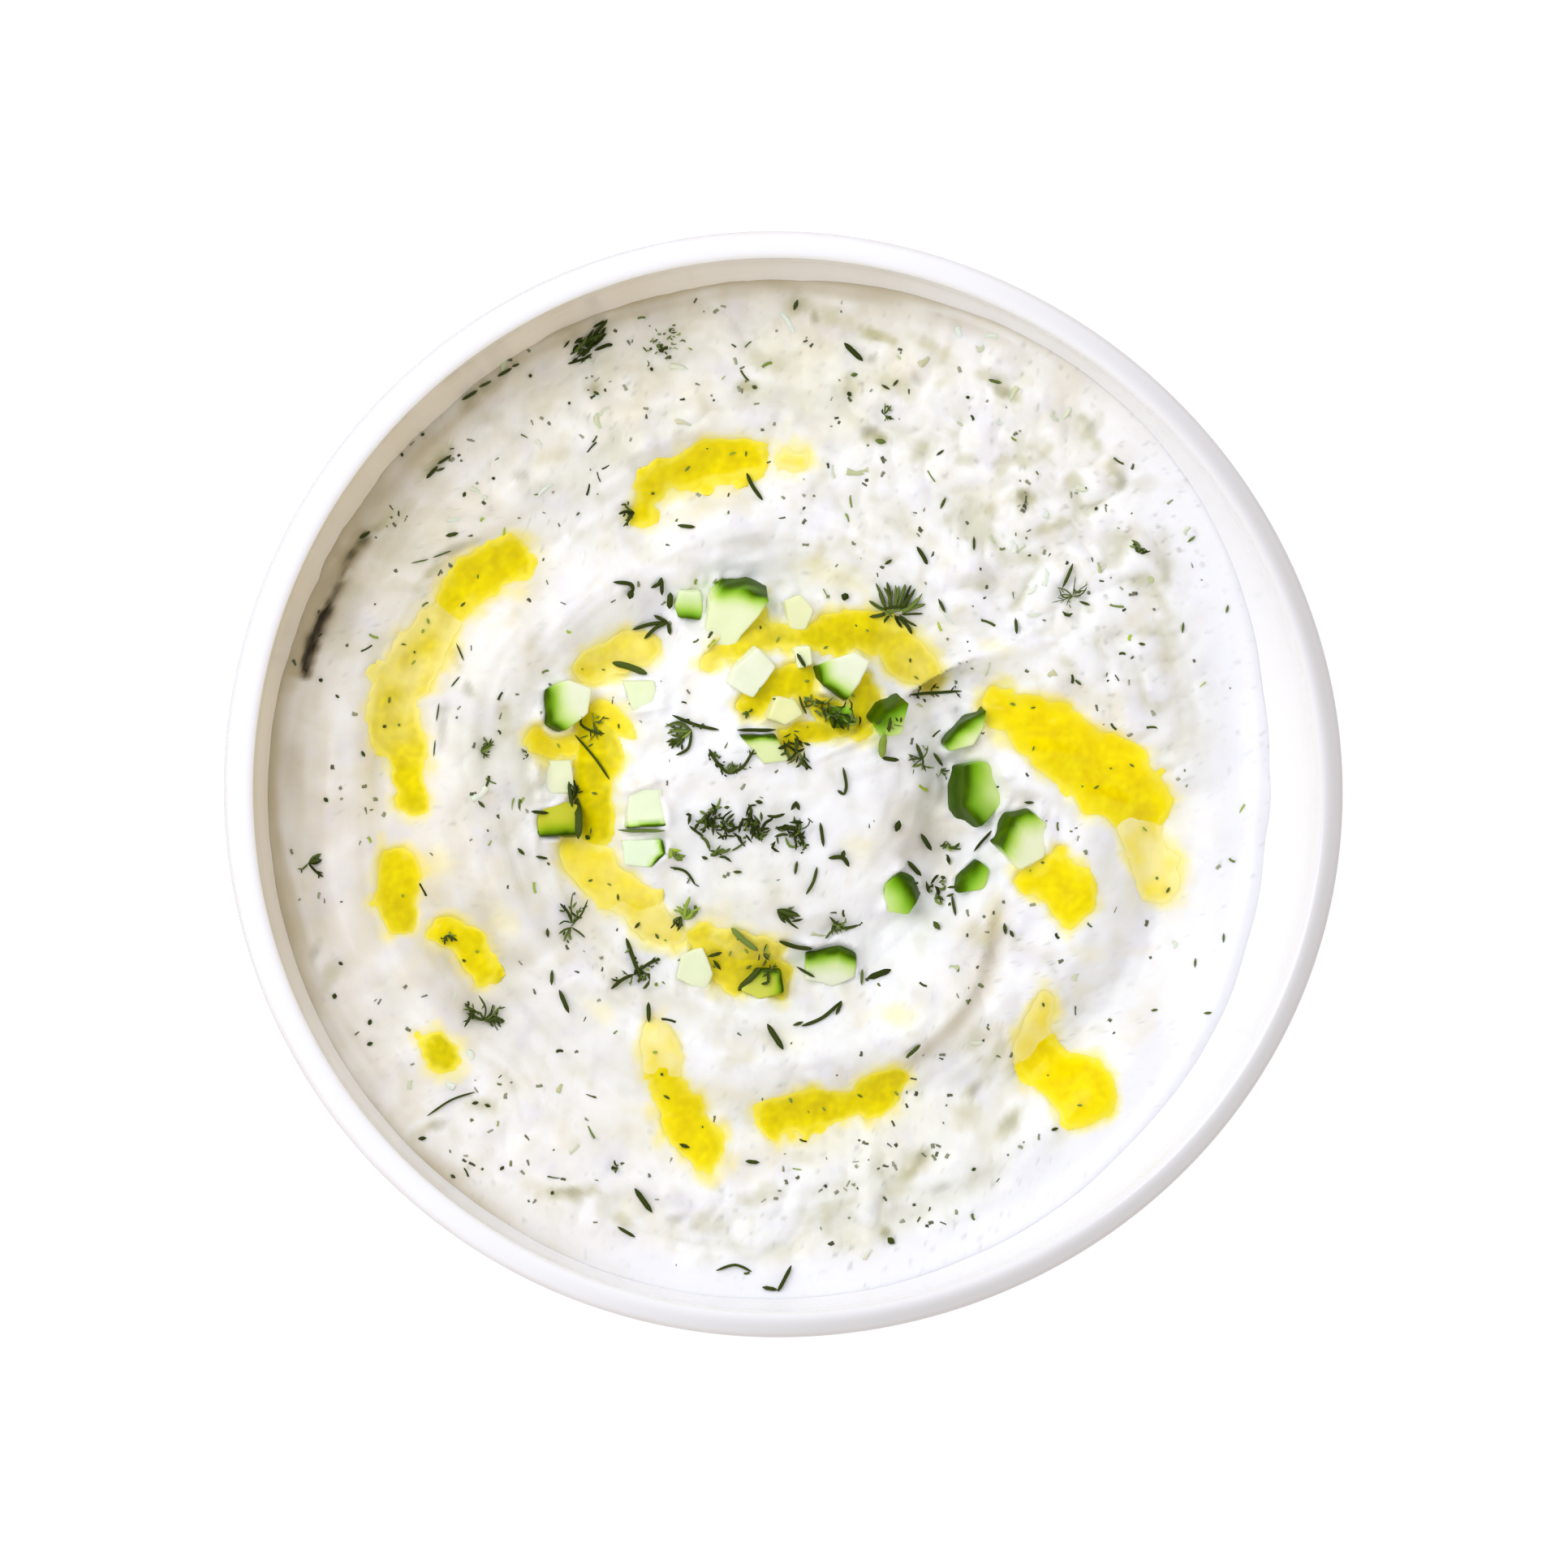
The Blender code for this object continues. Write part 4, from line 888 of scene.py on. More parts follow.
SMEARS = (
    (4.3, 68.2, 2.4, 1.6, 20, 0.6), (9.2, 66.4, 3.4, 1.6, -20, 0.5), (15.4, 64.2, 3.6, 1.0, -20, 0.8),
    (18.1, 57.1, 3.2, 2.0, -40, 0.55), (12.0, 56.4, 2.2, 2.4, 70, 0.5), (15.8, 49.3, 2.6, 1.0, -10, 0.8),
    (21.6, 47.8, 2.6, 1.6, 30, 0.4), (31.8, 58.0, 3.4, 1.2, -15, 0.5), (34.5, 55.3, 2.6, 1.6, -30, 0.7),
    (46.1, 50.0, 2.8, 1.3, -60, 0.8), (50.1, 44.2, 3.0, 1.0, -70, 0.7), (36.8, 40.2, 2.6, 2.0, 10, 0.75),
    (33.6, 45.1, 2.6, 1.2, 80, 0.45), (40.3, 36.2, 4.6, 1.2, 15, 0.5), (57.2, 30.9, 2.0, 5.0, 0, 0.45),
    (30.5, 29.1, 4.0, 2.4, 10, 0.25), (58.0, 21.0, 2.0, 5.0, 10, 0.4), (24.0, 62.0, 3.4, 1.4, -25, 0.5),
    (-37.4, 60.2, 3.6, 1.6, 30, 0.55), (-41.8, 55.8, 3.8, 1.4, 35, 0.75),
    (-48.0, 46.2, 3.6, 1.2, 50, 0.8), (-40.9, 52.2, 2.6, 1.4, 20, 0.45), (-59.4, 34.6, 3.4, 1.2, 52, 0.9),
    (-55.4, 37.6, 3.0, 0.9, 45, 0.6), (-48.0, 30.9, 4.2, 0.7, 38, 0.55), (-24.9, 56.7, 1.6, 1.2, 0, 0.7),
    (-31.0, 47.0, 4.0, 1.4, 15, 0.35), (-3.6, 56.7, 1.8, 1.2, 0, 0.7), (-0.9, 60.2, 3.0, 1.6, 0, 0.4),
    (-45.4, 18.2, 0.8, 3.4, 10, 0.5), (-38.3, 9.5, 1.6, 3.0, 0, 0.5), (-55.0, 4.0, 2.0, 3.4, 0, 0.35),
    (-29.4, -59.0, 5.4, 1.4, -4, 0.6), (-21.4, -63.4, 2.6, 1.2, -20, 0.5),
    (-9.8, -63.4, 4.0, 2.0, 0, 0.4), (-1.8, -59.9, 3.6, 1.6, 20, 0.45), (20.4, -56.3, 4.4, 1.4, 45, 0.6),
    (29.3, -47.4, 3.4, 1.8, 60, 0.4), (34.7, -50.1, 3.2, 1.4, 50, 0.55),
    (32.9, -41.0, 1.4, 4.4, -20, 0.4), (17.0, -65.6, 1.2, 1.2, 0, 0.9), (8.0, -62.0, 3.2, 1.6, 30, 0.4),
    (-41.8, -46.4, 3.6, 1.2, -5, 0.5), (-50.6, -50.0, 2.4, 1.0, 40, 0.5),
    (-64.0, -28.0, 1.4, 3.6, -20, 0.4),
)  # olive-beige smears of juice and minced dill, in the same order as STAINS
STREAKS = (
    (-60.5, 32.9, 4.4, 0.9, 46, 0.9), (-57, 36.4, 1.4, 0.9, 30, 0.7), (-47.2, 46.2, 2.8, 0.9, 44, 0.9),
    (-40, 57.3, 4.2, 0.9, 29, 0.75), (-43.4, 53.6, 2.4, 0.9, 33, 0.6), (-45.4, 33.6, 5.6, 0.9, 18, 0.6),
    (-63.4, 28, 3, 0.9, 62, 0.8), (-36, 44.2, 1.8, 0.9, 10, 0.5), (-25.4, 56.4, 1, 0.9, 0, 0.6),
    (-46.2, 19.8, 0.9, 4.2, 14, 0.75), (-47.4, 8.6, 0.9, 4, -6, 0.5), (-43.8, 13.4, 0.9, 1.6, 20, 0.6),
    (14.4, 50.4, 2, 0.9, -8, 0.7), (6.8, 66.4, 0.9, 1.2, 0, 0.7), (46.6, 50.6, 1.6, 0.9, -58, 0.7),
    (51, 43, 1.8, 0.9, -72, 0.7), (36.4, 40.8, 1.4, 0.9, 20, 0.75), (33.8, 55.6, 1.6, 0.9, -30, 0.6),
    (14.8, 60.6, 1.2, 0.9, 30, 0.6), (21, 58, 0.9, 1.3, 20, 0.5), (57.6, 30, 0.9, 2.6, 0, 0.4),
    (-29.6, -58.8, 2.6, 0.9, -4, 0.6), (-13.6, -62.8, 2.2, 0.9, 12, 0.5),
    (21.4, -55.2, 2.6, 0.9, 48, 0.6), (30.4, -45.4, 2.2, 0.9, 62, 0.6), (34.8, -49.6, 1.6, 0.9, 40, 0.5),
    (24.8, -58.8, 1.8, 0.9, 20, 0.5), (-48.6, -49.2, 2, 0.9, 20, 0.5), (-66, -24, 0.9, 2, -18, 0.5),
    (17, -65.4, 0.9, 0.9, 0, 0.8),
)  # darker streaks where the dip was dragged along the wall, in the same order as STAINS
JUICE_AND_HOLLOW_SHADE = linear("DAD8C2")
JUICE_DEEP = linear("C2BE90")
STREAK_OLIVE = linear("8E8A68")
FLECK = linear("8F9284")
OIL_EDGE = linear("FAEA4C")
FILM_SHADOW_TONE = linear("D0C5A8")
FILM_SHADOW_SIDE, FILM_FADE = 150, 3.2 * MM  # degrees round from +X, and how fast it fades inwards
SHADED_WALL_TONE = linear("C6B998")
FOLD_SHADE = linear("CBBFA6")
CRACK_EDGE_SHADE = linear("9A8A66")
CRACK_SHADE_BROWN = linear("3E3014")
CRACK_SHADE_OLIVE = linear("6E6A48")


def speckle(noise, share):
    """Soft spots where the noise is highest, over a share of the surface."""
    level = np.quantile(noise, 1 - share)
    return smooth_step(1.6 * (noise - level) / (noise.max() - level))


def streak_share(x, y, rows, raggedness):
    """How strongly the nearest of some long patches, given as rows of STAINS, tints each point."""
    most = np.zeros(x.shape)
    for centre_x, centre_y, along, across, heading, share in rows:
        c, s = math.cos(math.radians(heading)), math.sin(math.radians(heading))
        dx, dy = x - centre_x * MM, y - centre_y * MM
        away = np.hypot((dx * c + dy * s) / (along * MM), (dy * c - dx * s) / (across * MM))
        away += raggedness * grain(x, y, 2.2 * MM, 65) + 0.5 * raggedness * grain(x, y, 0.9 * MM, 70)
        most = np.maximum(most, share * (1 - smooth_step((away - 0.1) / 1.2)))
    return most


def dip_colours(x, y, oil):
    """Yogurt's colour, then tints, juice, soaked-in oil and flecks, with painted shade in patches, in
    hollows, along the crease, near the wall and in the crevice.
    """
    angle, radius = np.arctan2(y, x), np.hypot(x, y)
    colours = YOGURT
    patch = 0.8 + 0.4 * grain(x, y, 9 * MM, 61) + 0.4 * grain(x, y, 3.5 * MM, 62)
    for *place, code, share in TINTS_AND_SHADE:
        colours = mix(colours, linear(code), share * spot(x, y, *place) * patch)
    outer = 0.3 + 0.7 * smooth_step(radius / (36 * MM))
    for tone, share, seed in ((COOL_PATCH, 0.5, 91), (WARM_PATCH, 0.6, 93)):
        mottle = 1.1 * grain(x, y, 6.0 * MM, seed) + 0.4 * grain(x, y, 1.8 * MM, seed + 1)
        colours = mix(colours, tone, share * outer * smooth_step(0.05 + 0.9 * mottle))
    curdy = region(x, y, CURDY, 0.25)
    # Juice gathers in the hollows between curds, and painted shade darkens them too.
    hollow_shade = smooth_step(-dip_relief(x, y) / (0.75 * MM))
    hollow_share = (0.20 + 0.75 * np.clip(curdy, 0, 1)) * (0.8 + 0.6 * grain(x, y, 7 * MM, 63))
    colours = mix(colours, JUICE_AND_HOLLOW_SHADE, hollow_shade * hollow_share)
    drops = speckle(grain(x, y, 3.6 * MM, 64), 0.14)
    colours = mix(colours, JUICE_DEEP, 0.6 * drops * np.clip(curdy, 0, 1))
    offset, strength = crease_offset(x, y)
    colours = mix(colours, FOLD_SHADE, 0.6 * strength * bell(offset - 1.0 * MM, 1.3 * MM))
    colours = mix(colours, JUICE_DEEP, 1.15 * streak_share(x, y, SMEARS, 0.45))
    colours = mix(colours, STREAK_OLIVE, 0.75 * streak_share(x, y, STREAKS, 0.35))
    colours = mix(colours, OIL_PALE, streak_share(x, y, STAINS, 0.3))
    colours = mix(colours, WIPED, 0.9 * wiped(x, y))
    halo = smooth_step((oil + (1.9 + 1.0 * grain(x, y, 3 * MM, 66)) * MM) / (2.6 * MM))
    colours = mix(colours, OIL_PALE, 0.85 * halo)
    colours = mix(colours, OIL_EDGE, 0.6 * smooth_step((oil + 0.7 * MM) / MM))
    flecked = np.clip(curdy + 0.1 + 0.6 * grain(x, y, 12 * MM, 67), 0, 1) * smooth_step(-oil / MM)
    fleck = 0.5 * speckle(grain(x, y, 1.1 * MM, 68), 0.05)
    fleck += 0.4 * speckle(grain(0.8 * x + 0.6 * y, 2 * y - 1.2 * x, 1.6 * MM, 69), 0.05)
    colours = mix(colours, FLECK, fleck * flecked)
    # Painted shadow: near the wall on the window's side, the dip's edge takes the shaded wall's warm tones,
    # for the rim's shadow over it.
    thin_film = np.exp(-np.clip(edge_radius(angle) - radius, 0, 1) / FILM_FADE)
    rim_shadow_side = towards(angle, FILM_SHADOW_SIDE, 0.36, 0.8)
    streaks = 0.75 + 0.5 * smear(x, y, SMEAR_SIZE, 47) + 0.3 * grain(x, y, 5 * MM, 48)
    colours = mix(colours, FILM_SHADOW_TONE, rim_shadow_side * thin_film * streaks)
    colours = mix(colours, SHADED_WALL_TONE, rim_shadow_side * thin_film**2 * streaks)
    # Painted shade in the crevice: the shaded wall behind it, a darker edge, olive at its upper end and
    # dark brown down its deep lower end.
    opened, off_crack = crevice(x, y)
    behind = smooth_step(opened / 0.3) * smooth_step(off_crack / MM)
    colours = mix(colours, SHADED_WALL_TONE, behind)
    colours = mix(colours, CRACK_EDGE_SHADE, 0.9 * smooth_step(opened / 0.25) * bell(off_crack, 1.0 * MM))
    low_end = smooth_step((np.degrees(angle) % 360 - CREVICE_DARKENS) / 8)
    crack_shade = mix(CRACK_SHADE_OLIVE, CRACK_SHADE_BROWN, low_end)
    width = (0.40 + 0.30 * low_end) * (1 + 0.5 * grain(x, y, 1.6 * MM, 54)) * MM
    return mix(colours, crack_shade, np.clip(1.6 * opened, 0, 1) * bell(off_crack, width))


yogurt, tree, shader = new_material(
    "strained_yogurt",
    Roughness=0.38,
    IOR=1.35,
    Subsurface_Weight=0.35,
    Subsurface_Radius=(1.0, 0.85, 0.7),
    Subsurface_Scale=0.9 * MM,
)
dress(tree, shader, "dip", size=0.8 * MM, detail=3, strength=0.28, depth=0.12 * MM)

dip = make_piece("spread_dip", dip_points, dip_faces, yogurt)
under = np.full(len(dip_points) - len(dip_top), -DRY)
oil_over_dip = np.concatenate([dip_oil, under])
paint(dip, "dip", dip_colours(dip_points[:, 0], dip_points[:, 1], oil_over_dip))
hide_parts("dip")
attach(dip, "root")

# ---------------------------------------------------------------- olive oil
# Thin pools of yellow olive oil. Each is a closed lens on a fine grid: its top is smoother than the dip, so
# the shore is wherever a curd stands through it.

OIL_CELL = 0.32 * MM
OIL_SKIRT = 1.3 * MM  # how far a lens runs on under the dip, past its shore
OIL_CROWN = 0.16  # height of a lens's middle, as a share of its half width
OIL_LENS = 1.0 * MM
OIL_SUNK = 0.12 * MM
OIL_THIN, OIL_THICK = 0.6 * MM, 1.1 * MM  # depths where the shore's colour ends and the deepest one starts

# Unfiltered olive oil: clear yellow where it is thin, deeper or olive where it stands, and milky where some
# yogurt is mixed in. Its surface is smooth, so it has a soft sheen.
OIL_CLEAR = linear("FBE800")
OIL_DEEP = linear("EACE00")
OIL_OLIVE = linear("BAB000")
OIL_CLOUD = linear("FAEE9C")
olive_oil, tree, shader = new_material("olive_oil", Roughness=0.16, IOR=1.47, Specular_IOR_Level=0.12)
colour = add(tree, "ShaderNodeVertexColor", layer_name="oil")
tree.links.new(colour.outputs["Color"], shader.inputs["Base Color"])


def oil_lens(name, line, olive, cloud):
    """One pool: an upper and a lower sheet over the stroke, joined by a wall, coloured by its depth."""
    reach = line[:, 2].max() + OIL_SKIRT + MM
    columns = np.arange(line[:, 0].min() - reach, line[:, 0].max() + reach, OIL_CELL)
    rows = np.arange(line[:, 1].min() - reach, line[:, 1].max() + reach, OIL_CELL)
    x, y = (grid.ravel() for grid in np.meshgrid(columns, rows))
    depth = depth_inside(line, x, y)
    kept = (depth > -OIL_SKIRT).reshape(len(rows), len(columns))
    cells = kept[:-1, :-1] & kept[:-1, 1:] & kept[1:, 1:] & kept[1:, :-1]
    index = np.arange(x.size).reshape(kept.shape)
    top = grid_faces(index)[cells]
    sides = np.concatenate([top[:, [k, (k + 1) % 4]] for k in range(4)])
    known = set(map(tuple, sides.tolist()))
    shore = np.array([(a, b) for a, b in known if (b, a) not in known])
    used = np.unique(top)
    number = np.full(x.size, -1)
    number[used] = np.arange(len(used))
    top, shore = number[top], number[shore]
    x, y, depth = x[used], y[used], depth[used]
    crown = OIL_CROWN * line[:, 2].max() * smooth_step(depth / line[:, 2].max())
    high = spread_height(x, y) + crown - OIL_SUNK + 0.6 * np.minimum(depth, 0)
    thick = high - dip_height(x, y)
    upper = np.stack([x, y, high], axis=1)
    lower = np.stack([x, y, high - OIL_LENS], axis=1)
    count = len(used)
    walls = np.stack([shore[:, 0], shore[:, 0] + count, shore[:, 1] + count, shore[:, 1]], axis=1)
    faces = np.concatenate([top, top[:, ::-1] + count, walls])
    piece = make_piece(name, np.concatenate([upper, lower]), faces.tolist(), olive_oil)
    mottle = 0.5 + 0.5 * grain(x, y, 2.6 * MM, 71) + 0.4 * grain(x, y, 1.1 * MM, 73)
    mottle = np.clip(mottle + 0.3 * grain(x, y, 0.7 * MM, 74), 0, 1)
    body = mix(OIL_CLEAR, OIL_DEEP, smooth_step(thick / OIL_THICK) * mottle)
    body = mix(body, OIL_OLIVE, olive * (0.35 + 0.65 * mottle))
    along = np.argmin(np.hypot(x[:, None] - line[:, 0], y[:, None] - line[:, 1]), axis=1) / len(line)
    cloudy = np.interp(along, (0.35, 0.85), np.broadcast_to(cloud, 2))
    body = mix(body, OIL_CLOUD, cloudy * (0.7 + 0.6 * grain(x, y, 3.3 * MM, 72)))
    edge = mix(OIL_EDGE, OIL_CLOUD, 1.3 * cloudy)
    colours = mix(edge, body, smooth_step(thick / OIL_THIN))
    paint(piece, "oil", np.concatenate([colours, colours]))
    return piece


pools = []
for pool_name, (olive, cloud, _) in (POOLS | FILMS).items():
    pool = oil_lens(pool_name.replace("oil", "olive_oil"), pool_lines[pool_name], olive, cloud)
    if pool_name in POOLS:
        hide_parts(pool_name)
    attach(pool, "root")
    pools.append(pool)

# ---------------------------------------------------------------- cucumber
# Cubes and offcuts of raw cucumber, cut with a knife: wet, translucent flesh, and on most of them one
# curved side of skin. Each is cut as a prism, softened at its edges and set in the dip.

CUBE_HEIGHT = 6.0 * MM
CUBE_SHOW = 3.2 * MM  # how much of it stands out of the dip
CUBE_ROUND = 0.45 * MM
CUBE_LEAN = 0.14  # no cut is quite square
CUBE_TOP = 0.94  # a cube's top against its foot
CUBE_SEED = 100
SKIN_TURN = 0.55  # sides that face this far towards the skin's way carry skin
SKIN_THICKNESS = 0.25  # mm

# Freshly cut cucumber, from the skin in: dark green, blotched skin, a bright green rind, then pale and
# watery flesh. It is wet, and lets a little light through.
SKIN_BLOTCH = linear("2E4400")
WATERY_FLESH = linear("E2ECC6")
RIND_COLOURS = (
    (0.0, "466200"), (0.3, "5C8600"), (0.8, "80B40C"), (1.5, "AED448"), (2.4, "D6EA98"), (4.0, "F2F7DC"),
)  # (depth in rinds, colour)
RIND_DEPTH = 4.0  # where the last of those colours is reached
cucumber, tree, shader = new_material(
    "cut_cucumber",
    Roughness=0.28,
    IOR=1.36,
    Specular_IOR_Level=0.06,
    Subsurface_Weight=0.3,
    Subsurface_Radius=(0.9, 1.0, 0.5),
    Subsurface_Scale=0.8 * MM,
)
dress(tree, shader, "cucumber", size=0.7 * MM, detail=2, strength=0.25, depth=0.1 * MM)


def cut_block(name, corners, knife):
    """A block with the given outline, its edges rounded and its faces split finely enough to colour."""
    bm = bmesh.new()
    base = bm.faces.new([bm.verts.new((x, y, -CUBE_HEIGHT / 2)) for x, y in corners])
    walls = bmesh.ops.extrude_face_region(bm, geom=[base])["geom"]
    lean = knife.uniform(-CUBE_LEAN, CUBE_LEAN, 3)
    for vert in [item for item in walls if isinstance(item, bmesh.types.BMVert)]:
        vert.co.z += CUBE_HEIGHT + lean[0] * vert.co.x + lean[1] * vert.co.y
        vert.co.x *= CUBE_TOP + lean[2] / 3
        vert.co.y *= CUBE_TOP - lean[2] / 3
    bmesh.ops.recalc_face_normals(bm, faces=bm.faces)
    knife_edges = [edge for edge in bm.edges if edge.calc_face_angle(0) > math.radians(30)]
    bmesh.ops.bevel(bm, geom=knife_edges, offset=CUBE_ROUND, segments=3, profile=0.6, affect="EDGES")
    for longest, cuts in ((1.2 * MM, 2), (0.8 * MM, 1)):
        bmesh.ops.triangulate(bm, faces=bm.faces)
        long_edges = [edge for edge in bm.edges if edge.calc_length() > longest]
        bmesh.ops.subdivide_edges(bm, edges=long_edges, cuts=cuts, use_grid_fill=True)
    bmesh.ops.triangulate(bm, faces=bm.faces)
    bmesh.ops.recalc_face_normals(bm, faces=bm.faces)
    mesh = bpy.data.meshes.new(name)
    bm.to_mesh(mesh)
    bm.free()
    return mesh


def cucumber_colours(points, under_skin, rind, seed):
    """Colours by the depth under the skin in millimetres; rind is how much of the rind shows."""
    x, y, z = points.T
    under_skin = under_skin + 0.35 * grain(x + z, y - z, 2.2 * MM, seed)
    depth = np.maximum(under_skin, 0) / rind if rind else np.full(len(x), RIND_DEPTH)
    stops = [stop for stop, _ in RIND_COLOURS]
    channels = zip(*(linear(code) for _, code in RIND_COLOURS))
    colours = np.stack([np.interp(depth, stops, channel) for channel in channels], axis=1)
    blotch = smooth_step(0.4 + 1.1 * grain(x + z, y - z, 1.9 * MM, seed + 30))
    colours = mix(colours, SKIN_BLOTCH, 0.6 * blotch * (1 - smooth_step(depth / 0.9)))
    watery = 0.5 + 0.5 * grain(x + z, y - z, 2.4 * MM, seed + 50)
    return mix(colours, WATERY_FLESH, 0.4 * watery * smooth_step(depth / 3))


def make_cube(number, row):
    """Cuts one cube from its row of CUBES, colours it, tips it and sets it down in the dip."""
    outline, facing, tip, rind, sunk, tint = row
    seed = CUBE_SEED + number
    corners = np.array(outline) * MM
    centre = (corners.max(axis=0) + corners.min(axis=0)) / 2
    toward = np.array(polar(facing, 1.0))
    corners = corners - centre
    reach = corners @ toward
    depth, tilt = np.ptp(reach), math.radians(tip)
    squeeze = max(0.5, (depth - CUBE_SHOW * abs(math.sin(tilt))) / (depth * math.cos(tilt)))
    corners = corners + np.outer(reach * (squeeze - 1), toward)
    following = np.roll(corners, -1, axis=0)
    if np.sum(corners[:, 0] * following[:, 1] - corners[:, 1] * following[:, 0]) < 0:
        corners = corners[::-1]
    sides = np.roll(corners, -1, axis=0) - corners
    outward = np.stack([sides[:, 1], -sides[:, 0]], axis=1) / np.hypot(*sides.T)[:, None]
    skin_sides = [side for side in range(len(sides)) if outward[side] @ toward > SKIN_TURN]

    mesh = cut_block(f"cube_{number:02d}", corners, np.random.default_rng(seed))
    points = np.array([vert.co for vert in mesh.vertices])
    x, y, z = points.T
    under_skin = edge_distance(corners, x, y, skin_sides) / MM - SKIN_THICKNESS
    colours = cucumber_colours(points, under_skin, rind, seed) * linear(tint)
    uneven = 0.16 * MM * grain(x + 0.7 * z, y - 0.7 * z, 2.8 * MM, seed + 90)
    points *= (1 + uneven / np.maximum(np.linalg.norm(points, axis=1), MM))[:, None]
    height = float(spread_height(centre[:1], centre[1:])[0]) + CUBE_SHOW - CUBE_HEIGHT / 2 - sunk * MM
    tipping = Matrix.Rotation(tilt, 4, Vector((toward[1], -toward[0], 0)))
    placed = points @ np.array(tipping.to_3x3()).T + (*centre, height)
    mesh.vertices.foreach_set("co", placed.ravel())
    mesh.materials.append(cucumber)
    mesh.shade_smooth()
    piece = new_object(f"cucumber_cube_{number:02d}", mesh)
    paint(piece, "cucumber", colours)
    return piece


cubes = []
for number, row in enumerate(CUBES, start=1):
    cube = make_cube(number, row)
    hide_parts(f"cucumber_{number:02d}")
    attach(cube, "root")
    cubes.append(cube)

# ---------------------------------------------------------------- grated cucumber and chopped dill
# Part of the cucumber is grated and stirred in, so that soft shreds show in the hollows. Finely chopped
# dill is stirred in too, and more of it is strewn on top. Geometry Nodes strew both over the dip.


def new_tree(name, *inputs):
    """A Geometry Nodes tree with inputs given as (label, socket type); returns it and their outputs."""
    made = bpy.data.node_groups.new(name, "GeometryNodeTree")
    for label, kind in (("Geometry", "Geometry"), *inputs):
        made.interface.new_socket(label, in_out="INPUT", socket_type=f"NodeSocket{kind}")
    made.interface.new_socket("Geometry", in_out="OUTPUT", socket_type="NodeSocketGeometry")
    return made, add(made, "NodeGroupInput").outputs


def grow(name, source, tree, **values):
    """Runs a tree on a mesh and keeps the result as a plain mesh piece; values set its named inputs."""
    piece = new_object(name, source)
    modifier = piece.modifiers.new(name, "NODES")
    modifier.node_group = tree
    for item in tree.interface.items_tree:
        if item.in_out == "INPUT" and item.name in values:
            modifier[item.identifier] = values[item.name]
    bpy.context.view_layer.update()
    graph = bpy.context.evaluated_depsgraph_get()
    grown = piece.evaluated_get(graph)
    made = bpy.data.meshes.new_from_object(grown, preserve_all_data_layers=True, depsgraph=graph)
    piece.modifiers.remove(modifier)
    piece.data = made
    made.name = name
    return piece


def finish_tree(tree, geometry, material):
    """Ends a tree: real faces, smooth shading, its material."""
    real = add(tree, "GeometryNodeRealizeInstances", [("Geometry", geometry)])
    smooth = add(tree, "GeometryNodeSetShadeSmooth", [("Geometry", real.outputs["Geometry"])])
    clad = add(
        tree, "GeometryNodeSetMaterial", [("Geometry", smooth.outputs["Geometry"]), ("Material", material)]
    )
    add(tree, "NodeGroupOutput", [("Geometry", clad.outputs["Geometry"])])


def times(tree, a, b):
    """Multiplies two numbers in a tree."""
    return add(tree, "ShaderNodeMath", [(0, a), (1, b)], operation="MULTIPLY").outputs[0]


def tube(tree, curve, sides, radius, scale=1.0):
    """A tube with closed ends along a curve in a tree."""
    ring = add(tree, "GeometryNodeCurvePrimitiveCircle", [("Resolution", sides), ("Radius", radius)])
    made = add(
        tree,
        "GeometryNodeCurveToMesh",
        [("Curve", curve), ("Profile Curve", ring.outputs["Curve"]), ("Scale", scale), ("Fill Caps", True)],
    )
    return made.outputs["Mesh"]


def bent_bit(tree, inputs, steps, sides):
    """A closed tube that lies along X, bent sideways by Bend and let into what it lies on by Sink."""
    half, down = times(tree, inputs["Length"], 0.5), times(tree, inputs["Sink"], -1)
    minus_half = times(tree, half, -1)
    start = add(tree, "ShaderNodeCombineXYZ", [("X", minus_half), ("Z", down)])
    middle = add(tree, "ShaderNodeCombineXYZ", [("Y", inputs["Bend"]), ("Z", down)])
    end = add(tree, "ShaderNodeCombineXYZ", [("X", half), ("Z", down)])
    curve = add(
        tree,
        "GeometryNodeCurveQuadraticBezier",
        [
            ("Resolution", steps),
            ("Start", start.outputs[0]),
            ("Middle", middle.outputs[0]),
            ("End", end.outputs[0]),
        ],
    )
    return tube(tree, curve.outputs["Curve"], sides, inputs["Thickness"])


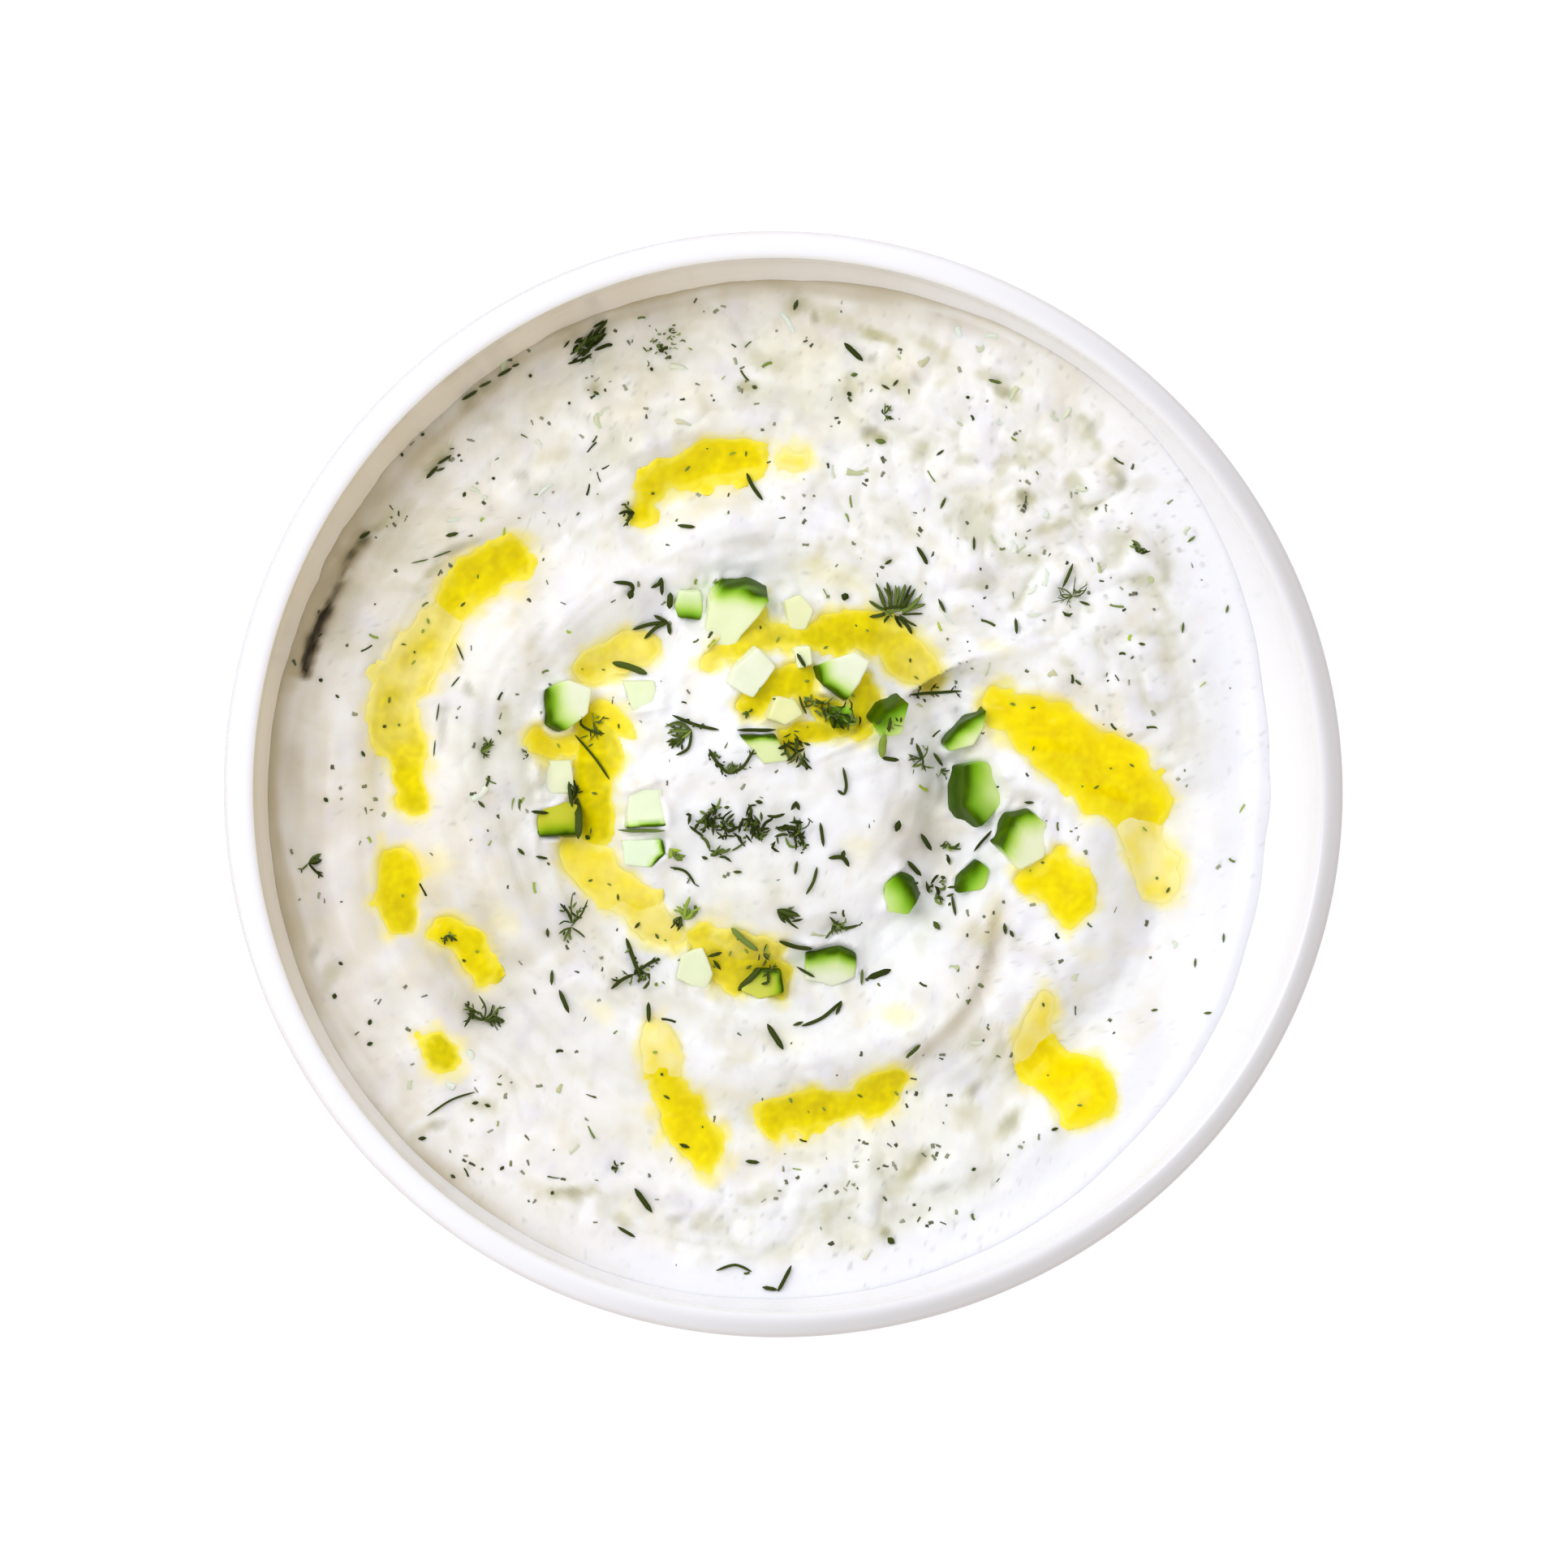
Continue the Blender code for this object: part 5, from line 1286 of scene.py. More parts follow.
def strewing_tree(name, factor_name, steps, sides):
    """Strews bent bits over a mesh, lying along it, where the named attribute says."""
    tree, inputs = new_tree(
        name,
        ("Bits_per_square_metre", "Float"),
        ("Seed", "Int"),
        ("Length", "Float"),
        ("Bend", "Float"),
        ("Thickness", "Float"),
        ("Sink", "Float"),
        ("Smallest", "Vector"),
        ("Largest", "Vector"),
        ("Material", "Material"),
    )
    factor = add(tree, "GeometryNodeInputNamedAttribute", [("Name", factor_name)], data_type="FLOAT")
    density = times(tree, factor.outputs["Attribute"], inputs["Bits_per_square_metre"])
    points = add(
        tree,
        "GeometryNodeDistributePointsOnFaces",
        [("Mesh", inputs["Geometry"]), ("Density", density), ("Seed", inputs["Seed"])],
    )
    turn = add(
        tree,
        "FunctionNodeRandomValue",
        [("Min", (-0.25, -0.25, 0)), ("Max", (0.25, 0.25, math.tau)), ("Seed", 1)],
        data_type="FLOAT_VECTOR",
    )
    spin = add(tree, "FunctionNodeEulerToRotation", [("Euler", turn.outputs["Value"])])
    lying = add(
        tree,
        "FunctionNodeRotateRotation",
        [("Rotation", points.outputs["Rotation"]), ("Rotate By", spin.outputs["Rotation"])],
        rotation_space="LOCAL",
    )
    size = add(
        tree,
        "FunctionNodeRandomValue",
        [("Min", inputs["Smallest"]), ("Max", inputs["Largest"]), ("Seed", 2)],
        data_type="FLOAT_VECTOR",
    )
    bits = add(
        tree,
        "GeometryNodeInstanceOnPoints",
        [
            ("Points", points.outputs["Points"]),
            ("Instance", bent_bit(tree, inputs, steps, sides)),
            ("Rotation", lying.outputs["Rotation"]),
            ("Scale", size.outputs["Value"]),
        ],
    )
    shade = add(tree, "FunctionNodeRandomValue", [("Seed", 3)], data_type="FLOAT").outputs[1]
    shaded = add(
        tree,
        "GeometryNodeStoreNamedAttribute",
        [("Geometry", bits.outputs["Instances"]), ("Name", "shade"), ("Value", shade)],
        data_type="FLOAT",
        domain="INSTANCE",
    )
    finish_tree(tree, shaded.outputs["Geometry"], inputs["Material"])
    return tree


def strew(piece_name, factor, slot, steps, sides, **values):
    """Strews bits over the dip where factor, one number for each of its points, says."""
    mark(dip.data, "strewn", factor)
    tree = strewing_tree(piece_name, "strewn", steps, sides)
    piece = grow(piece_name, dip.data.copy(), tree, **values)
    dip.data.attributes.remove(dip.data.attributes["strewn"])
    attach(piece, "root")
    return piece


def shaded_material(name, stops, **finish):
    """A material whose colour is picked by each bit's shade attribute."""
    made, tree, shader = new_material(name, **finish)
    shade = add(tree, "ShaderNodeAttribute", attribute_name="shade")
    ramp = add(tree, "ShaderNodeValToRGB", [("Fac", shade.outputs["Fac"])])
    elements = ramp.color_ramp.elements
    while len(elements) < len(stops):
        elements.new(0.5)
    for element, (place, code) in zip(elements, stops):
        element.position = place
        element.color = (*linear(code), 1)
    tree.links.new(ramp.outputs["Color"], shader.inputs["Base Color"])
    return made


# Grated cucumber: wet shreds under a film of yogurt, nearly all pale, a few with a streak of green skin.
shred_flesh = shaded_material(
    "grated_cucumber",
    ((0.0, "F2F0E2"), (0.5, "E6E5CF"), (0.85, "D6D7B4"), (1.0, "B9C084")),
    Roughness=0.35,
    IOR=1.36,
    Specular_IOR_Level=0.3,
    Subsurface_Weight=0.4,
    Subsurface_Scale=1.2 * MM,
)

STREWN_RADIUS = 71.5 * MM
x, y, _ = dip_points.T
on_top = (np.arange(len(dip_points)) < len(dip_top)) & (np.hypot(x, y) < STREWN_RADIUS)
clear_of_oil = on_top * smooth_step(-oil_over_dip / MM - 0.3)
SHREDDED = (
    (40, 40, 15, 1.0), (48, 24, 10, 0.5), (12, 56, 12, 1.0), (-20, 58, 10, 0.7), (30, 58, 10, 0.8),
    (6, -58, 14, 0.7), (-36, 42, 10, 0.4), (-52, 30, 8, 0.4), (34, -34, 10, 0.3), (-40, -44, 10, 0.3),
)  # (x, y, reach in mm, how many)
gathered = smooth_step(0.45 + 1.1 * grain(x, y, 6 * MM, 81))
strew(
    "grated_cucumber_shreds",
    np.clip(region(x, y, SHREDDED, 0.04), 0, 1.2) * clear_of_oil * gathered,
    "cucumber",
    steps=6,
    sides=6,
    Bits_per_square_metre=40000.0,
    Seed=5,
    Length=3.2 * MM,
    Bend=0.5 * MM,
    Thickness=0.46 * MM,
    Sink=0.3 * MM,
    Smallest=(0.35, 0.5, 0.5),
    Largest=(1.1, 1.4, 1.0),
    Material=shred_flesh,
)

# Dill: fine green leaf, darkest where it was cut. What lies in the dip shows pale through it.
dill_in_dip = shaded_material(
    "dill_under_yogurt",
    ((0.0, "3E4228"), (0.3, "64674A"), (0.6, "86886E"), (0.85, "A6A78C"), (1.0, "6A7430")),
    Roughness=0.5,
    IOR=1.4,
    Specular_IOR_Level=0.2,
)
dill_leaf = shaded_material(
    "fresh_dill_leaf",
    ((0.0, "2C3510"), (0.3, "4C5A24"), (0.55, "6F8240"), (0.8, "92A944"), (1.0, "B2CA40")),
    Roughness=0.6,
    IOR=1.4,
    Specular_IOR_Level=0.05,
)

SPECKLED = (
    (-48, 42, 14, 0.9), (-22, 62, 12, 1.0), (8, 56, 14, 1.1), (38, 32, 17, 1.0), (14, -62, 14, 1.0),
    (-40, -46, 12, 0.6), (30, -46, 11, 0.8), (-60, -10, 10, 0.5), (44, 4, 9, 0.4), (36, -22, 9, 0.6),
)  # (x, y, reach in mm, how many)
clustered = smooth_step(0.12 + 1.3 * grain(x, y, 7 * MM, 82) + 1.2 * grain(x, y, 2.6 * MM, 84))
clustered *= np.clip(region(x, y, SPECKLED, 0.3), 0, 1.3) * (1 - 0.8 * wiped(x, y))
strew(
    "dill_specks_in_dip",
    on_top * (0.012 + 0.988 * clustered) * smooth_step(-oil_over_dip / MM - 0.2),
    "herb",
    steps=2,
    sides=5,
    Bits_per_square_metre=190000.0,
    Seed=7,
    Length=0.7 * MM,
    Bend=0.10 * MM,
    Thickness=0.2 * MM,
    Sink=0.05 * MM,
    Smallest=(0.25, 0.4, 0.4),
    Largest=(1.5, 1.6, 1.0),
    Material=dill_in_dip,
)
heaped = smooth_step(0.12 + 1.1 * grain(x, y, 10 * MM, 83) + 0.9 * grain(x, y, 3.2 * MM, 85))
strew(
    "chopped_dill",
    on_top * heaped * smooth_step(0.7 - oil_over_dip / MM),
    "herb",
    steps=3,
    sides=5,
    Bits_per_square_metre=20000.0,
    Seed=9,
    Length=1.4 * MM,
    Bend=0.25 * MM,
    Thickness=0.2 * MM,
    Sink=-0.03 * MM,
    Smallest=(0.4, 0.4, 0.6),
    Largest=(1.6, 1.2, 1.1),
    Material=dill_leaf,
)

# ---------------------------------------------------------------- dill sprigs
# Leaf tips of fresh dill, pinched off the stalk and strewn by hand: thread-like leaflets on a thin stem.
# Each thread is laid over what is under it, and all of them are turned into tubes that taper to a point.

STRAND_STEP = 0.45 * MM
TUBE_SIDES = 5
UNFORKED = 0.35  # share of a leaflet's sides that carry no fork
MISSING = 0.15  # share of a frond's leaflets that broke off
STEPS_PER_BIT = 9  # of a pool's line, for each bit of dill on it
SPRIG_SEED = 17


def top_surface(pieces):
    """What lies on top of the dip, as a tree that can be asked for its height."""
    points, triangles, start = [], [], 0
    for piece in pieces:
        mesh = piece.data
        mesh.calc_loop_triangles()
        place = np.empty(3 * len(mesh.vertices))
        mesh.vertices.foreach_get("co", place)
        corners = np.empty(3 * len(mesh.loop_triangles), int)
        mesh.loop_triangles.foreach_get("vertices", corners)
        points.append(place.reshape(-1, 3))
        triangles.append(corners.reshape(-1, 3) + start)
        start += len(mesh.vertices)
    points, triangles = np.concatenate(points).tolist(), np.concatenate(triangles).tolist()
    return BVHTree.FromPolygons(points, triangles, all_triangles=True)


surface = top_surface([dip, *pools, *cubes])


def ground(x, y):
    """Height of whatever lies on top at a point."""
    hit = surface.ray_cast(Vector((x, y, BOWL_HEIGHT + 10 * MM)), Vector((0, 0, -1)))[0]
    return hit.z if hit else LEVEL


strand_points, strand_edges, strand_thick, strand_shade = [], [], [], []


def lay(path, thickness, shade, lift=0.0, arch=0.0):
    """Lays one thread along (x, y) points in millimetres; lift and arch raise it off what is under it."""
    xs, ys = np.array(path, float).T * MM
    length = np.hypot(np.diff(xs), np.diff(ys)).sum()
    steps = max(4, int(length / STRAND_STEP) + 1)
    position = np.linspace(0, len(path) - 1, steps)
    if len(path) > 2:
        xs, ys = smooth_list(xs, position), smooth_list(ys, position)
    else:
        xs, ys = np.interp(position, (0, 1), xs), np.interp(position, (0, 1), ys)
    low = np.array([ground(a, b) for a, b in zip(xs, ys)])
    padded = np.concatenate([low[:1], low, low[-1:]])
    highest = np.maximum(np.maximum(padded[:-2], padded[1:-1]), padded[2:])
    padded = np.concatenate([highest[:1], highest, highest[-1:]])
    along = np.linspace(0, 1, steps)
    zs = (padded[:-2] + padded[1:-1] + padded[2:]) / 3 + (0.35 * thickness + lift) * MM
    zs += arch * MM * 4 * along * (1 - along)
    taper = np.clip(1.15 - abs(2 * along - 1) ** 3, 0.2, 1)
    first = len(strand_points)
    strand_points.extend(zip(xs.tolist(), ys.tolist(), zs.tolist()))
    strand_edges.extend((first + step, first + step + 1) for step in range(steps - 1))
    strand_thick.extend((thickness / 2 * MM * taper).tolist())
    strand_shade.extend([shade] * steps)


def shifted(rng, shade, amount=0.14):
    """A shade a little to one side of the given one."""
    return float(np.clip(shade + rng.normal(0, amount), 0, 1))


def step_from(start, turn, reach):
    """The point that lies at a distance from start, in a direction given in radians."""
    return start[0] + reach * math.cos(turn), start[1] + reach * math.sin(turn)


def burst(rng, base, tips, thickness, shade):
    """Leaflets from near one point to each tip, each a little bent, some of them forked."""
    for tip_x, tip_y in tips:
        base_x, base_y = base[0] + rng.normal(0, 0.25), base[1] + rng.normal(0, 0.25)
        dx, dy = tip_x - base_x, tip_y - base_y
        bend, tone = rng.normal(0, 0.10), shifted(rng, shade)
        middle = (base_x + 0.5 * dx - bend * dy, base_y + 0.5 * dy + bend * dx)
        lift = rng.uniform(0, 0.5)
        width = thickness * rng.uniform(0.55, 0.95)
        lay([base, middle, (tip_x, tip_y)], width, tone, lift, rng.uniform(0, 0.3))
        for side in (-1, 1):
            if rng.uniform() < UNFORKED:
                continue
            share = rng.uniform(0.35, 0.8)
            fork = (base[0] + share * dx, base[1] + share * dy)
            turn = math.atan2(dy, dx) + side * rng.uniform(0.4, 0.9)
            tip = step_from(fork, turn, math.hypot(dx, dy) * rng.uniform(0.2, 0.4))
            lay([fork, tip], thickness * rng.uniform(0.45, 0.8), shifted(rng, tone), lift, 0.1)


def fan(rng, x, y, size, leaflets, heading, spread, thickness, shade):
    """A burst with its tips at random within a sector."""
    tips = []
    for turn in np.radians(heading + spread * (rng.uniform(size=leaflets) - 0.5)):
        tips.append(step_from((x, y), turn, size * rng.uniform(0.35, 1.0)))
    burst(rng, (x, y), tips, thickness, shade)


def heap(rng, x, y, long, wide, heading, bits, size, thickness, shade, order):
    """Chopped dill on a patch; order, 0 to 1, is how far its bits lie along the patch."""
    c, s = math.cos(math.radians(heading)), math.sin(math.radians(heading))
    for _ in range(bits):
        along, across = rng.normal(0, 0.5, 2) * (long, wide)
        start = (x + along * c - across * s, y + along * s + across * c)
        turn = math.radians(heading) + rng.normal(0, 0.45 - 0.3 * order)
        turn += (1 - order) * rng.uniform(-1.6, 1.6)
        path = [start]
        for _ in range(rng.integers(1, 3)):
            path.append(step_from(path[-1], turn, size * rng.uniform(0.35, 1.0)))
            turn += rng.uniform(-1.5, 1.5) * (1 - 0.7 * order)
        lift = rng.uniform(0, 0.7)
        lay(path, thickness * rng.uniform(0.5, 1.05), shifted(rng, shade, 0.2), lift, rng.uniform(0, 0.2))


def frond(rng, path, pairs, leaflet, thickness, shade):
    """A stem along a path, with forked leaflets that lean forward on both of its sides."""
    lay(path, thickness * 1.1, shade * 0.7, 0.2)
    xs, ys = np.array(path, float).T
    for pair in range(pairs):
        for side in (-1, 1):
            if rng.uniform() < MISSING:
                continue
            share = (pair + rng.uniform(0.1, 1.0)) / pairs * (len(path) - 1)
            base = [float(np.interp(share, range(len(path)), values)) for values in (xs, ys)]
            segment = min(int(share), len(path) - 2)
            heading = math.atan2(ys[segment + 1] - ys[segment], xs[segment + 1] - xs[segment])
            turn = heading + side * rng.uniform(0.45, 1.1)
            reach = leaflet * rng.uniform(0.5, 1.1) * (1 - 0.4 * share / (len(path) - 1))
            burst(rng, base, [step_from(base, turn, reach)], thickness * rng.uniform(0.7, 1.0), shade)


# Leaf tips that fan out: (x, y, length in mm, leaflets, heading, spread in degrees, thickness in mm, shade
# from dark 0 to bright 1)
FANS = (
    (-11.6, 7.4, 4.2, 13, 205, 95, 0.50, 0.44), (-12.6, 6.4, 2.6, 6, 250, 120, 0.45, 0.30),
    (-6.2, 1.1, 2.2, 6, 75, 110, 0.45, 0.40), (-3.4, 10.0, 1.6, 5, 150, 260, 0.40, 0.34),
    (-12.3, -20.0, 3.8, 9, 75, 110, 0.70, 0.74), (-12.8, -19.6, 2.4, 5, 235, 100, 0.50, 0.16),
    (-25.2, 8.4, 2.9, 8, 330, 250, 0.28, 0.42), (22.4, 2.8, 2.6, 8, 60, 330, 0.32, 0.36),
    (25.4, 1.0, 1.6, 5, 320, 200, 0.32, 0.34), (1.0, -18.6, 4.4, 8, -28, 60, 0.55, 0.16),
    (-0.6, -25.2, 2.2, 6, 70, 300, 0.36, 0.26), (-35.0, 4.0, 1.2, 3, 200, 120, 0.3, 0.2),
    (-41.3, -34.4, 4.2, 12, 70, 190, 0.52, 0.20), (-42.4, -33.0, 3.0, 6, 200, 120, 0.45, 0.16),
    (-19.2, 38.6, 2.8, 8, 215, 150, 0.50, 0.24), (44.0, 26.2, 3.2, 9, 90, 330, 0.26, 0.46),
    (53.5, 32.5, 2.2, 6, 70, 150, 0.50, 0.20), (-66.8, -11.4, 2.8, 8, 320, 230, 0.42, 0.22),
    (-42.0, 4.6, 2.6, 8, 80, 260, 0.40, 0.40), (-46.5, -22.2, 2.2, 6, 330, 230, 0.45, 0.22),
    (-28.2, -3.0, 3.2, 7, 88, 60, 0.42, 0.20), (-22.4, -55.6, 1.8, 5, 200, 200, 0.40, 0.20),
    (16.6, 52.6, 2.0, 6, 20, 260, 0.40, 0.20), (4.8, -9.0, 1.6, 5, 260, 150, 0.42, 0.16),
)
# Chopped dill in heaps: (x, y, half length, half width in mm, heading, bits, bit's length, thickness in mm,
# shade, order)
HEAPS = (
    (-9.0, -5.6, 2.8, 1.8, 0, 44, 1.5, 0.56, 0.12, 0.0),
    (-3.4, -6.4, 2.4, 1.9, 0, 32, 1.6, 0.50, 0.12, 0.0),
    (2.4, -7.2, 2.4, 2.0, -10, 24, 1.6, 0.46, 0.12, 0.0),
    (-6.2, -7.4, 3.2, 1.0, -5, 14, 1.3, 0.42, 0.20, 0.3),
    (-8.6, -10.6, 2.6, 0.7, 8, 10, 1.6, 0.55, 0.24, 0.7),
    (-13.8, -10.4, 1.1, 0.8, -30, 8, 1.0, 0.70, 0.86, 0.2),
    (2.6, 5.6, 1.9, 2.2, -65, 22, 1.6, 0.55, 0.16, 0.3),
    (7.4, 10.8, 3.6, 1.5, -25, 26, 1.5, 0.45, 0.24, 0.3),
    (9.6, 9.2, 2.6, 1.3, -20, 20, 1.4, 0.45, 0.34, 0.2),
    (4.4, 3.6, 1.2, 1.6, -90, 9, 1.4, 0.45, 0.14, 0.6),
    (24.6, -16.4, 1.9, 1.6, 20, 20, 1.2, 0.55, 0.34, 0.0),
    (26.2, -10.4, 1.4, 0.9, -30, 10, 1.2, 0.50, 0.26, 0.0),
    (9.6, -21.6, 1.5, 1.1, -20, 14, 1.2, 0.45, 0.34, 0.0),
    (-17.7, -28.2, 1.4, 1.3, -50, 12, 1.1, 0.60, 0.44, 0.0),
    (-27.9, 61.6, 2.6, 1.5, 38, 24, 2.2, 0.62, 0.06, 1.0),
    (-25.2, 63.6, 1.6, 0.8, 32, 9, 1.8, 0.55, 0.06, 1.0),
    (-15.2, 63.2, 3.0, 2.8, 0, 30, 0.7, 0.30, 0.44, 0.0),
    (-15.6, 62.2, 0.5, 0.4, 0, 5, 0.7, 0.60, 0.16, 0.0),
    (16.9, 9.0, 1.0, 1.9, -70, 7, 1.2, 0.45, 0.28, 0.2),
    (-0.2, -27.6, 1.2, 2.2, 40, 9, 1.3, 0.40, 0.40, 0.5),
)
# A burst with every leaflet placed: (base, thickness, shade, tips)
BURSTS = (
    ((-28.6, -20.4), 0.45, 0.30, ((-28.2, -16.4), (-25.8, -17.3), (-30.3, -17.6), (-30.6, -20.6),
        (-27.0, -18.2))),
    ((-28.7, -21.0), 0.40, 0.34, ((-29.9, -23.0), (-28.9, -22.9), (-26.6, -22.6), (-30.7, -21.9),
        (-26.9, -19.4))),
)
# Fronds: (stem, pairs of leaflets, leaflet length in mm, thickness in mm, shade)
FRONDS = (
    (((21.0, 11.9), (24.5, 12.0), (28.8, 12.3)), 4, 2.0, 0.42, 0.14),
    (((-14.3, 9.6), (-10.9, 8.2), (-7.7, 7.5)), 2, 1.3, 0.50, 0.14),
    (((-9.2, 4.8), (-8.0, 2.8), (-6.3, 1.1)), 3, 1.5, 0.50, 0.22),
    (((-6.3, 1.1), (-4.3, 2.2), (-2.9, 4.8)), 3, 1.4, 0.45, 0.20),
    (((-20.3, -22.9), (-19.4, -25.6), (-18.3, -29.0)), 4, 1.5, 0.60, 0.16),
    (((-19.4, -28.0), (-21.4, -28.7), (-23.1, -29.9)), 3, 1.9, 0.50, 0.14),
    (((-18.8, -27.6), (-16.9, -26.5), (-15.4, -25.9)), 2, 1.3, 0.48, 0.18),
    (((-14.6, -12.4), (-12.3, -13.0), (-10.9, -15.0)), 2, 1.3, 0.40, 0.18),
    (((8.9, -19.9), (10.9, -21.6), (13.4, -21.2)), 2, 1.2, 0.45, 0.26),
    (((1.2, -6.9), (3.6, -7.1), (4.8, -9.8)), 3, 1.1, 0.45, 0.10),
)
